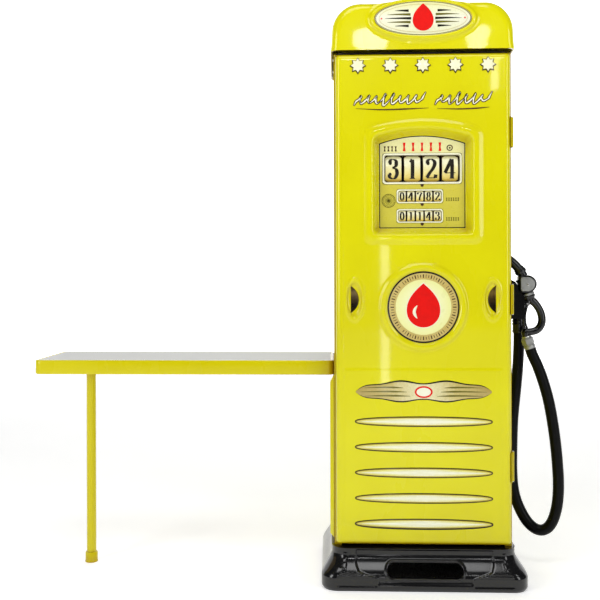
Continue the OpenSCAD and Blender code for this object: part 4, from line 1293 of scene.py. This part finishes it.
head = loft("head_shell", head_loops(0.0), MAT["yellow_gelcoat"], cap_start=True, cap_end=True, sharp=50)
hollow = loft("head_hollow", head_loops(0.006), None, cap_start=True, cap_end=True)
for v in hollow.data.vertices:
    if v.co.z < HEAD_LO.z + 0.001:
        v.co.z -= 0.01
cut(head, hollow)


def oval_loop(grow, y, n=96):
    """Outline round the badge; it can't grow past the top of the head."""
    out = []
    for k in range(n):
        a = 2 * math.pi * k / n
        up = smoothstep(0.35, 0.95, math.sin(a))
        g = grow * (1 - up) if grow > 0 else grow
        x = (BOSS_HX + g) * math.copysign(abs(math.cos(a)) ** 0.94, math.cos(a))
        z = (BOSS_HZ + g) * math.copysign(abs(math.sin(a)) ** 0.94, math.sin(a))
        out.append(Vector((x, y, BADGE_Z + z)))
    return out


boss_steps = [(-0.030, -0.190), (-0.010, -0.205), (-0.002, -0.222), (0.024, HEAD_FRONT + 0.0008),
              (0.016, HEAD_FRONT - 0.0004), (0.009, HEAD_FRONT - 0.0022), (0.0035, HEAD_FRONT - 0.0052),
              (0.0005, HEAD_FRONT - 0.0082), (-0.0025, HEAD_FRONT - 0.0098), (-0.0065, HEAD_FRONT - 0.0099),
              (-0.0100, HEAD_FRONT - 0.0090), (-0.0125, HEAD_FRONT - 0.0068), (-0.0140, HEAD_FRONT - 0.0045),
              (-0.0160, HEAD_FRONT - 0.0040)]
boss = loft("head_boss", [oval_loop(g, y) for g, y in boss_steps], MAT["yellow_gelcoat"], sharp=70)
head = join("head_form", [head, boss])
finish_piece(head, "pump", ["head_cap"])
frame["nodes"]["badge_plate"].data.materials[0] = BADGE_FACE

badge_y = BADGE_LO.y - 0.0006
badge = []


def oval_band(hx, hz, width, y, mat, n=96):
    verts = []
    for k in range(n):
        a = 2 * math.pi * k / n
        c, s = math.cos(a), math.sin(a)
        verts += [Vector(((hx - width) * c, y, BADGE_Z + (hz - width) * s)), Vector((hx * c, y, BADGE_Z + hz * s))]
    faces = [(2 * k, 2 * ((k + 1) % n), 2 * ((k + 1) % n) + 1, 2 * k + 1) for k in range(n)]
    ob = add_mesh("oval_band", verts, faces, mat, smooth=False)
    if ob.data.polygons[0].normal.y > 0:
        flip_normals(ob)
    return ob


badge.append(oval_band(BADGE_HX - 0.001, BADGE_HZ - 0.001, 0.0022, badge_y, OLIVE_INK))
badge.append(oval_band(BADGE_HX - 0.013, BADGE_HZ - 0.010, 0.0012, badge_y, TAN_INK))
badge.append(patch([(x * 0.62, BADGE_Z + (z - BADGE_Z) * 0.62) for x, z in drop_outline(1.0, BADGE_Z)],
                   badge_y - 0.0003, RED_INK))
for s in (-1, 1):
    for k in range(5):
        z = BADGE_Z + 0.0255 - 0.0128 * k
        far = 0.128 - 0.0085 * (k - 2) ** 2
        near = 0.040 + 0.002 * (k - 2) ** 2
        badge.append(flourish([(s * near, z), (s * (near + far) / 2, z + 0.0006), (s * far, z)],
                              [0.0042, 0.0030, 0.0018, 0.0004], badge_y, (INK, OLIVE_INK)[k % 2]))
    badge.append(disc(s * 0.139, BADGE_Z, 0.0028, badge_y, RED_INK, 16))
finish_piece(join("badge_print", badge), "pump", [])


# ---------- plinth ----------

PL_LO, PL_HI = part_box("base_plinth")
FOOT_W, FOOT_D = PL_HI.x - PL_LO.x, PL_HI.y - PL_LO.y
FOOT_CY = (PL_HI.y + PL_LO.y) / 2
TOP_W, TOP_D, TOP_CY = 0.620, 0.466, -0.019
SLOT_Z, SLOT_HW, SLOT_HH = 0.066, 0.126, 0.023


def plinth_level(z):
    """Width, depth, centre and corner radius of the plinth at one height."""
    u = smoothstep(0.040, 0.112, z)
    w = FOOT_W + (TOP_W - FOOT_W) * u
    d = FOOT_D + (TOP_D - FOOT_D) * u
    cy = FOOT_CY + (TOP_CY - FOOT_CY) * u
    foot = 0.006 * (1 - smoothstep(0.0, 0.010, z))
    return w - 2 * foot, d - 2 * foot, cy, 0.055 - foot


def front_relief(x, z):
    """Raised foot pads and corner columns either side of the sunk apron, on the front of the plinth."""
    ax = abs(x)
    edge = 0.2315 - 0.008 * smoothstep(0.085, 0.060, z) - 0.030 * smoothstep(0.064, 0.052, z)
    edge -= 0.034 * smoothstep(0.056, 0.042, z)
    apron = smoothstep(edge, edge - 0.006, ax)
    sunk = 0.0060 * apron * smoothstep(0.018, 0.034, z) * smoothstep(0.1285, 0.122, z)
    q = math.hypot((ax - 0.268) / 0.0085, (z - 0.092) / 0.028)
    sunk -= 0.0032 * smoothstep(1.05, 0.75, q)
    pad = smoothstep(0.300, 0.286, ax) * smoothstep(edge - 0.004, edge + 0.004, ax)
    sunk += 0.0026 * pad * smoothstep(0.052, 0.046, z) * smoothstep(0.012, 0.020, z)
    sunk += 0.0030 * pad * smoothstep(0.0575, 0.0545, z) * smoothstep(0.0505, 0.0535, z)
    lip = math.hypot(max(ax - (SLOT_HW - SLOT_HH), 0.0), z - SLOT_Z)
    sunk -= 0.0042 * smoothstep(SLOT_HH + 0.0085, SLOT_HH + 0.0055, lip)
    return sunk


def plinth_ring(z, wall=0.0):
    w, d, cy, r = plinth_level(z)
    w, d, r = w - 2 * wall, d - 2 * wall, r - wall / 2
    base = [Vector((x, cy + y, z)) for x, y in rounded_rect(w, d, r, 8)]
    out = []
    n = len(base)
    for i in range(n):
        a, b = base[i], base[(i + 1) % n]
        out.append(a)
        if (b - a).length > 0.05:
            count = 190 if abs(b.x - a.x) > abs(b.y - a.y) else 20
            out += [a.lerp(b, k / count) for k in range(1, count)]
    front = cy - d / 2
    if wall == 0.0:
        for p in out:
            near = smoothstep(front + 0.020, front + 0.004, p.y)
            if near > 0:
                p.y += front_relief(p.x, z) * near
    return out


levels = [0.0, 0.0015, 0.004, 0.008, 0.013] + [0.016 + 0.0022 * k for k in range(49)] + [0.1235, 0.1260, 0.1285, PL_HI.z]
plinth = loft("plinth_shell", [plinth_ring(z) for z in levels], MAT["black_gelcoat"], cap_start=True, cap_end=True,
              sharp=55)
inner_levels = [-0.01, 0.02, 0.044, 0.06, 0.08, 0.10, 0.116]
inner = loft("plinth_inner", [plinth_ring(z, 0.016) for z in inner_levels], None, cap_start=True, cap_end=True)
cut(plinth, inner)
slot_out = rounded_rect(2 * SLOT_HW, 2 * SLOT_HH, SLOT_HH - 0.0008, 14)
slot_cut = loft("slot_cut", [xz_loop(slot_out, y, 0, SLOT_Z) for y in (PL_LO.y - 0.02, PL_LO.y + 0.05)], None,
                cap_start=True, cap_end=True)
cut(plinth, slot_cut)


def slot_front(x, z):
    """Depth of the plinth's front face at one height, without its reliefs."""
    w, d, cy, r = plinth_level(z)
    return cy - d / 2


lip_loops = []
for k in range(96):
    a = 2 * math.pi * k / 96
    straight = SLOT_HW - SLOT_HH
    along = (k / 96) * (4 * straight + 2 * math.pi * SLOT_HH)
    half_run = straight
    segs = [2 * straight, math.pi * SLOT_HH, 2 * straight, math.pi * SLOT_HH]
    if along < segs[0]:
        c = Vector((straight - along, 0, SLOT_HH))
        out_dir = Vector((0, 0, 1))
    elif along < segs[0] + segs[1]:
        t = (along - segs[0]) / SLOT_HH
        out_dir = Vector((-math.sin(t), 0, math.cos(t)))
        c = Vector((-straight, 0, 0)) + out_dir * SLOT_HH
    elif along < segs[0] + segs[1] + segs[2]:
        c = Vector((-straight + along - segs[0] - segs[1], 0, -SLOT_HH))
        out_dir = Vector((0, 0, -1))
    else:
        t = (along - segs[0] - segs[1] - segs[2]) / SLOT_HH
        out_dir = Vector((math.sin(t), 0, -math.cos(t)))
        c = Vector((straight, 0, 0)) + out_dir * SLOT_HH
    z = SLOT_Z + c.z
    y = slot_front(c.x, z)
    ring = []
    for j in range(10):
        b = 2 * math.pi * j / 10
        p = c + out_dir * (0.0030 + 0.0042 * math.cos(b)) + Vector((0, y + 0.0005 + 0.0042 * math.sin(b), SLOT_Z))
        ring.append(p)
    lip_loops.append(ring)
verts = [p for ring in lip_loops for p in ring]
faces = []
for k in range(96):
    for j in range(10):
        a, b = k * 10 + j, k * 10 + (j + 1) % 10
        c, d = ((k + 1) % 96) * 10 + j, ((k + 1) % 96) * 10 + (j + 1) % 10
        faces.append((a, b, d, c))
lip = add_mesh("slot_lip", verts, faces, MAT["black_gelcoat"])
plinth = join("plinth_form", [plinth, lip])
finish_piece(plinth, "pump", ["base_plinth"])


# ---------- table ----------

T_LO, T_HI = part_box("table_frame")
TABLE_TOP = hi("table_top").z
TABLE_W, TABLE_D = T_HI.x - T_LO.x, T_HI.y - T_LO.y
TABLE_CX, TABLE_CY = (T_HI.x + T_LO.x) / 2, (T_HI.y + T_LO.y) / 2
INLAY = mid("table_top")
INLAY_W = hi("table_top").x - lo("table_top").x
INLAY_D = hi("table_top").y - lo("table_top").y


def table_loop(inset, z, half_w=None, half_d=None):
    w = TABLE_W - 2 * inset
    d = TABLE_D - 2 * inset
    return [Vector((TABLE_CX + x, TABLE_CY + y, z)) for x, y in rounded_rect(w, d, max(0.022 - inset, 0.004), 8)]


rim_w = (TABLE_D - INLAY_D) / 2
edge = 0.0045
prof = [(rim_w, T_LO.z + 0.030), (rim_w, T_LO.z + 0.0004), (edge, T_LO.z)]
prof += [(edge * (1 - math.sin(a)), T_LO.z + edge * (1 - math.cos(a))) for a in (math.pi / 2 * k / 5 for k in range(1, 6))]
prof += [(edge * (1 - math.cos(a)), TABLE_TOP - edge * (1 - math.sin(a))) for a in
         (math.pi / 2 * k / 5 for k in range(6))]
prof += [(rim_w - 0.0008, TABLE_TOP), (rim_w, TABLE_TOP - 0.0008), (rim_w, TABLE_TOP - 0.004)]
table_rim = loft("table_edge", [table_loop(i, z) for i, z in prof], MAT["yellow_enamel"], sharp=50)
under = loft("table_under", [[Vector((TABLE_CX + x, TABLE_CY + y, T_LO.z + h)) for x, y in
                              rounded_rect(TABLE_W - 2 * rim_w - s, TABLE_D - 2 * rim_w - s, 0.006, 8)]
                             for s, h in ((-0.001, 0.0040), (0.0, 0.0012), (0.004, 0.0008))],
             MAT["yellow_enamel"], cap_end=True)
table_piece = join("table_rim", [table_rim, under])
finish_piece(table_piece, "pump", ["table_frame"])

LEG = mid("table_leg")
LEG_R = 0.017


def turned(name, cx, cy, profile, mat, n=40, sharp=40):
    """Solid of revolution about a vertical line, from (radius, height) pairs."""
    loops = [[Vector((cx + r * math.cos(2 * math.pi * k / n), cy + r * math.sin(2 * math.pi * k / n), z))
              for k in range(n)] for r, z in profile]
    return loft(name, loops, mat, cap_start=True, cap_end=True, sharp=sharp)


leg_hi = hi("table_leg").z
leg = turned("leg_tube", LEG.x, LEG.y, [(LEG_R, lo("table_leg").z), (LEG_R, leg_hi - 0.012), (0.0185, leg_hi - 0.0095),
                                        (0.024, leg_hi - 0.0062), (0.042, leg_hi - 0.0048), (0.044, leg_hi - 0.0036),
                                        (0.044, leg_hi)], MAT["yellow_enamel"])
finish_piece(leg, "pump", ["table_leg"])
foot_hi = hi("leg_foot").z
foot = turned("leg_cap", LEG.x, LEG.y, [(0.0215, 0.0), (0.0232, 0.0012), (0.0234, 0.0042), (0.0226, 0.0056),
                                        (0.0222, 0.0075), (0.0222, foot_hi - 0.0035), (0.0212, foot_hi - 0.0010),
                                        (0.0190, foot_hi - 0.0002), (0.0174, foot_hi)], MAT["yellow_enamel"])
finish_piece(foot, "pump", ["leg_foot"])


# ---------- softened copies of machined parts ----------

def softened(node, body, width, segments=2, sharp=32):
    """A copy of a plain CAD part with worn, rounded edges, standing for that part."""
    src = frame["nodes"][node]
    me = src.data.copy()
    ob = bpy.data.objects.new(node + "_form", me)
    scene.collection.objects.link(ob)
    ob.matrix_world = src.matrix_world.copy()
    bm = bmesh.new()
    bm.from_mesh(me)
    bmesh.ops.remove_doubles(bm, verts=bm.verts, dist=0.00002)
    bmesh.ops.dissolve_limit(bm, angle_limit=math.radians(1.2), verts=bm.verts, edges=bm.edges)
    bm.to_mesh(me)
    bm.free()
    me.transform(ob.matrix_world)
    ob.matrix_world = Matrix.Identity(4)
    bevel(ob, width, segments, 30)
    apply_modifiers(ob)
    auto_smooth(ob, sharp)
    even = ob.modifiers.new("even", "WEIGHTED_NORMAL")
    even.keep_sharp = True
    apply_modifiers(ob)
    return finish_piece(ob, body, [node])


softened("nozzle_boot", "pump", 0.0016, 3)
softened("hose_outlet", "pump", 0.0016, 3)
softened("outlet_ferrule", "pump", 0.0010)
softened("spout_port", "pump", 0.0012)
softened("table_support_panel", "pump", 0.0018, 3)


# ---------- nozzle ----------

CAP_C = mid("nozzle_cap")
ENAMEL = MAT["black_enamel"]


def on_plane(points, dy=0.0):
    return [Vector((x, NZ + dy, z)) for x, z in points]


def dee(cx, cz, r, flat, n=72):
    """Outline of the chamber: a dome on the right, square-shouldered and flat on the left."""
    corner = r * 0.30
    knots = []
    for k in range(25):
        a = math.radians(-92 + 184 * k / 24)
        knots.append((r * math.cos(a) * 0.98, r * math.sin(a) * 0.93))
    top, left = r * 0.93, -flat
    for k in range(9):
        a = math.radians(95 + 85 * k / 8)
        knots.append((left + corner + corner * math.cos(a) * 1.0, top - corner * 0.95 + corner * 0.95 * math.sin(a)))
    for k in range(9):
        a = math.radians(180 + 85 * k / 8)
        knots.append((left + corner + corner * math.cos(a), -top + corner * 0.95 + corner * 0.95 * math.sin(a)))
    return [(cx + x, cz + z) for x, z in resample(knots, n)]


chamber = loft("chamber", [xz_loop(dee(0.3890, 1.0150, r, f), NZ + y)
                           for r, f, y in ((0.024, 0.020, 0.0250), (0.0310, 0.0265, 0.0245), (0.0335, 0.0285, 0.0215),
                                           (0.0342, 0.0292, 0.0160), (0.0342, 0.0292, -0.0160),
                                           (0.0335, 0.0285, -0.0215), (0.0312, 0.0265, -0.0242),
                                           (0.0285, 0.0240, -0.0246))],
               ENAMEL, cap_start=True, cap_end=True, sharp=60)
back_cap = loft("chamber_back", [xz_loop(dee(0.3885, 1.0145, r, f), NZ + y)
                                 for r, f, y in ((0.026, 0.024, 0.0245), (0.0255, 0.0235, 0.0275),
                                                 (0.0235, 0.0215, 0.0285))], ENAMEL, cap_end=True)
fix_normals(back_cap)
cap = loft("cap_face", [xz_loop(dee(0.3875, 1.0145, r, f), NZ + y)
                        for r, f, y in ((0.0274, 0.0232, -0.0244), (0.0274, 0.0232, -0.0268), (0.0264, 0.0222, -0.0282),
                                        (0.0240, 0.0198, -0.0285))], MAT["grey_metal"], cap_end=True, sharp=45)
screw = turned("cap_screw", 0, 0, [(0.0046, 0.0), (0.0046, 0.0010), (0.0034, 0.0016), (0.0008, 0.0018)],
               MAT["screw_steel"], 24)
for v in screw.data.vertices:
    x, y, z = v.co
    v.co = Vector((0.3885 + x, NZ - 0.0284 - z, 1.0130 + y))
fix_normals(screw)
# dark patch across the screw head: painted shade standing in for the cut of its slot
slot_shade_patch = patch([(0.3885 + a * 0.0034 - b * 0.0006, 1.0130 + a * 0.0014 + b * 0.0012) for a, b in
                   ((-1, -1), (1, -1), (1, 1), (-1, 1))], NZ - 0.0284 - 0.00192, INK)
cap_piece = join("cap_plate", [cap, screw, slot_shade_patch])
finish_piece(cap_piece, "nozzle", ["nozzle_cap"])

throat = sweep("throat", catmull(on_plane([(0.366, 1.038), (0.374, 1.028), (0.386, 1.010), (0.392, 0.990),
                                            (0.397, 0.966)]), 6),
               [0.0205] * 12 + [0.0215] * 13, ENAMEL, 28)
neck_path = catmull(on_plane([(0.3905, 0.990), (0.3935, 0.978), (0.3955, 0.970), (0.3975, 0.962), (0.3990, 0.955)]), 5)
neck_r = [0.0215 + 0.0050 * math.exp(-((k - 9.5) / 3.4) ** 2) - (0.004 if k > 17 else 0.0) for k in range(len(neck_path))]
neck = sweep("neck", neck_path, neck_r, ENAMEL, 32)
neck_band_path = catmull(on_plane([(0.3925, 0.9815), (0.3938, 0.9775), (0.3950, 0.9735)]), 4)
neck_band = sweep("neck_band", neck_band_path,
                  [0.0232 + 0.0016 * math.sin(math.pi * k / (len(neck_band_path) - 1)) for k in range(len(neck_band_path))],
                  MAT["grey_metal"], 32)
block = loft("saddle", [[Vector((x, NZ + y, z)) for x, y in rounded_rect(0.036, 0.044, 0.010, 6) for x in [0.376 + x]]
                        for z in (0.990, 0.994, 1.036, 1.042)], ENAMEL, cap_start=True, cap_end=True)
ELBOW = SW_TOP - SW_AXIS * 0.0186
grip_knots = [(0.4010, 0.962), (0.4110, 0.9540), (0.4215, 0.9440), (0.4320, 0.9290), (0.4400, 0.9120),
              (0.4440, 0.8950), (0.4440, 0.8790), (0.4400, 0.8660), (0.4320, 0.8545), (0.4215, 0.8475),
              (0.4090, 0.8440), (0.3970, 0.8430), (0.3880, 0.8425)]
grip_path = catmull(on_plane(grip_knots), 6)
count = len(grip_path)
grip_r = [0.0128 + 0.0022 * math.exp(-((k / count - 0.05) / 0.12) ** 2) + 0.0012 * math.sin(math.pi * k / count)
          for k in range(count)]
grip = sweep("grip", grip_path, grip_r, ENAMEL, 28, squash=1.02)
elbow_path = [ELBOW + Vector((0.0095, 0, 0.0022)), ELBOW + Vector((0.0050, 0, 0.0010)),
              ELBOW + SW_AXIS * 0.0010 + Vector((0.0010, 0, -0.0004)), ELBOW + SW_AXIS * 0.0060, ELBOW + SW_AXIS * 0.0102,
              ELBOW + SW_AXIS * 0.0141]
grip_end = sweep("grip_end", catmull(elbow_path, 5), 0.0140, ENAMEL, 28)
stub = sweep("stub", [ELBOW + SW_AXIS * 0.012, SW_TOP + SW_AXIS * 0.012], 0.0119, MAT["plated_steel"], 24)
lugs = []
for s in (-1, 1):
    outline = []
    for k in range(19):
        a = math.pi + math.pi * k / 18
        outline.append((0.391 + 0.008 * math.cos(a), 0.944 + 0.008 * math.sin(a)))
    outline += [(0.399, 0.970), (0.383, 0.970)]
    y0 = NZ + s * 0.0110
    lug = loft("lug", [xz_loop([(x + (0.391 - x) * i, z + (0.950 - z) * i * 0.6) for x, z in outline], y0 + y)
                       for i, y in ((0.10, -0.0020), (0.0, -0.0014), (0.0, 0.0014), (0.10, 0.0020))],
               ENAMEL, cap_start=True, cap_end=True)
    lugs.append(lug)
nozzle_form = join("nozzle_form", [chamber, back_cap, throat, neck, neck_band, block, grip, grip_end, stub] + lugs)
finish_piece(nozzle_form, "nozzle", ["nozzle_body"])

SP_C = Vector((0.235, NZ, 0.972))
SP_R = 0.160
spout_path, spout_r = [], []
for k in range(49):
    a = math.radians(75.0 - (75.0 - 26.0) * k / 48)
    spout_path.append(SP_C + Vector((SP_R * math.cos(a), 0, SP_R * math.sin(a))))
    spout_r.append(0.0164 - 0.0014 * smoothstep(14, 0, k) + 0.0004 * smoothstep(30, 48, k))
spout = sweep("spout_tube", spout_path, spout_r, MAT["black_enamel"], 30)
lip_path = [spout_path[0] + (spout_path[0] - spout_path[2]).normalized() * t for t in (-0.004, 0.0, 0.0012)]
# dark disc at the spout's mouth: painted shade standing in for the inside of the bore
bore_shade = sweep("spout_bore_shade", [spout_path[0] + (spout_path[0] - spout_path[2]).normalized() * t for t in (0.0006, 0.0009)],
             0.0115, INK, 24)
finish_piece(join("spout_pipe", [spout, bore_shade]), "nozzle", ["spout"])

collar_path = []
for k in range(11):
    a = math.radians(31.0 + 7.5 * k / 10)
    collar_path.append(SP_C + Vector((SP_R * math.cos(a), 0, SP_R * math.sin(a))))
collar_r = [0.0192, 0.0204, 0.0210, 0.0210, 0.0210, 0.0206, 0.0192, 0.0188, 0.0190, 0.0188, 0.0178]
collar = sweep("spout_nut", collar_path[::-1], collar_r[::-1], ENAMEL, 32)
finish_piece(collar, "nozzle", ["spout_collar"])


def strip(name, centre, thick, width, mat, round_r=0.0012, steps=5):
    """Flat bar bent along a line in the nozzle's plane."""
    path = catmull(on_plane(centre), steps)
    n = len(path)
    loops = []
    section = rounded_rect(1.0, 1.0, 0.0, 1)
    for i, p in enumerate(path):
        t = (path[min(i + 1, n - 1)] - path[max(i - 1, 0)]).normalized()
        nrm = Vector((t.z, 0, -t.x))
        h = thick[i * (len(thick) - 1) // (n - 1)] if isinstance(thick, (list, tuple)) else thick
        loops.append([p + nrm * u + Vector((0, v, 0)) for u, v in
                      rounded_rect(h, width, min(round_r, h * 0.45), 4)])
    return loft(name, loops, mat, cap_start=True, cap_end=True, sharp=60)


guard = strip("guard_strip", [(0.3792, 0.968), (0.3790, 0.940), (0.3788, 0.905), (0.3788, 0.880), (0.3798, 0.868),
                              (0.3835, 0.8600), (0.3890, 0.8570), (0.3930, 0.8568)], 0.0036, 0.0168, ENAMEL)
finish_piece(guard, "nozzle", ["trigger_guard"])

lever = strip("lever_blade", [(0.3915, 0.9440), (0.3890, 0.9300), (0.3858, 0.9120), (0.3846, 0.8950),
                              (0.3856, 0.8780), (0.3882, 0.8650), (0.3925, 0.8590)],
              [0.0085, 0.0075, 0.0062, 0.0056, 0.0054, 0.0052, 0.0048, 0.0042], 0.0146, ENAMEL, 0.0018)
boss_pts = [(0.0072 * math.cos(2 * math.pi * k / 32), 0.0072 * math.sin(2 * math.pi * k / 32)) for k in range(32)]
lever_boss = loft("lever_boss", [[Vector((0.391 + x * s, NZ + y, 0.944 + z * s)) for x, z in boss_pts]
                                 for s, y in ((0.9, -0.0079), (1.0, -0.0072), (1.0, 0.0072), (0.9, 0.0079))],
                  ENAMEL, cap_start=True, cap_end=True)
lever_piece = join("trigger_lever", [lever, lever_boss])
finish_piece(lever_piece, "trigger", ["trigger"])


# ---------- swivel ----------

SW_X = SW_AXIS.cross(Vector((0, 1, 0))).normalized()


def swivel_ring_loop(d, r, sides=0, round_to=0.0):
    """Section across the swivel at distance d; six-sided where sides is 6."""
    pts = []
    for k in range(48):
        a = 2 * math.pi * k / 48 + math.pi / 6
        q = r
        if sides:
            sector = (a % (math.pi / 3)) - math.pi / 6
            q = min(r * math.cos(math.pi / 6) / math.cos(sector), r - round_to)
        pts.append(SW_TOP + SW_AXIS * d + SW_X * (q * math.cos(a)) + Vector((0, q * math.sin(a), 0)))
    return pts


HEX = 0.0225
loops = [swivel_ring_loop(d, r) for d, r in ((0.0, 0.0150), (0.0006, 0.0172), (0.0022, 0.0186), (0.0036, 0.0190))]
loops += [swivel_ring_loop(0.0044, HEX * 0.92, 6, 0.0004), swivel_ring_loop(0.0060, HEX, 6, 0.0006),
          swivel_ring_loop(0.0240, HEX, 6, 0.0006), swivel_ring_loop(0.0256, HEX * 0.92, 6, 0.0004)]
loops += [swivel_ring_loop(d, r) for d, r in ((0.0262, 0.0186), (0.0282, 0.0184), (0.0290, 0.0196), (0.0300, 0.0201),
                                              (0.0370, 0.0201), (0.0395, 0.0197), (SW_LEN - 0.0004, 0.0188))]
swivel_form = loft("swivel_form", loops, MAT["grey_metal"], cap_start=True, cap_end=True, sharp=28)
finish_piece(swivel_form, "swivel", ["hose_swivel"])


# ---------- floor and light ----------

def plain_white(name, glow):
    m = Nodes(name, ior=1.45)
    m.put("color", m.ramp(m.noise(3.0, 4.0), (0.3, (0.86, 0.86, 0.855)), (0.7, (0.90, 0.90, 0.895))))
    m.put("rough", m.value(m.noise(12.0, 3.0), 0.3, 0.7, 0.75, 0.9))
    m.bsdf.inputs["Specular IOR Level"].default_value = 0.1
    m.bsdf.inputs["Emission Color"].default_value = (1.0, 1.0, 1.0, 1.0)
    m.bsdf.inputs["Emission Strength"].default_value = glow
    return m.mat


floor = add_mesh("studio_floor", [Vector((x, y, 0)) for x, y in ((-14, -14), (14, -14), (14, 7), (-14, 7))],
                 [(0, 1, 2, 3)], plain_white("floor_white", 0.42), smooth=False)
wall = add_mesh("studio_wall", [Vector((x, 6.5, z)) for x, z in ((-14, -1), (14, -1), (14, 11), (-14, 11))],
                [(0, 1, 2, 3)], plain_white("wall_white", 1.1), smooth=False)

world = bpy.data.worlds.new("studio")
scene.world = world
world.use_nodes = True
background = world.node_tree.nodes["Background"]
background.inputs["Color"].default_value = (0.95, 0.96, 1.0, 1.0)
background.inputs["Strength"].default_value = 0.07


def area(name, at, aim, size, power, shape="RECTANGLE"):
    data = bpy.data.lights.new(name, "AREA")
    data.shape = shape
    data.size, data.size_y = size
    data.energy = power
    ob = bpy.data.objects.new(name, data)
    ob.location = at
    ob.rotation_euler = (Vector(aim) - Vector(at)).to_track_quat("-Z", "Y").to_euler()
    scene.collection.objects.link(ob)
    return ob


area("soft_left", (-3.1, -2.7, 1.9), (0, 0, 1.0), (1.2, 2.6), 58)
area("soft_right", (3.0, -2.9, 1.9), (0, 0, 1.0), (1.2, 2.6), 49)
area("soft_top", (-0.2, -1.7, 3.9), (0, -0.1, 1.0), (2.4, 1.2), 40)
area("card_left", (-0.21, -3.3, 2.70), (-0.15, -0.3, 1.88), (0.36, 0.24), 4.2, "ELLIPSE")
area("card_right", (0.86, -3.3, 2.72), (0.2, -0.3, 1.88), (0.22, 0.26), 2.1, "ELLIPSE")
area("strip_low", (0.07, -3.6, 0.72), (0.0, -0.3, 0.85), (0.06, 1.1), 1.6)
area("strip_high", (0.86, -3.6, 2.50), (0.25, -0.3, 1.75), (0.05, 0.26), 0.45)

scene.view_settings.view_transform = "Standard"
scene.view_settings.look = "None"
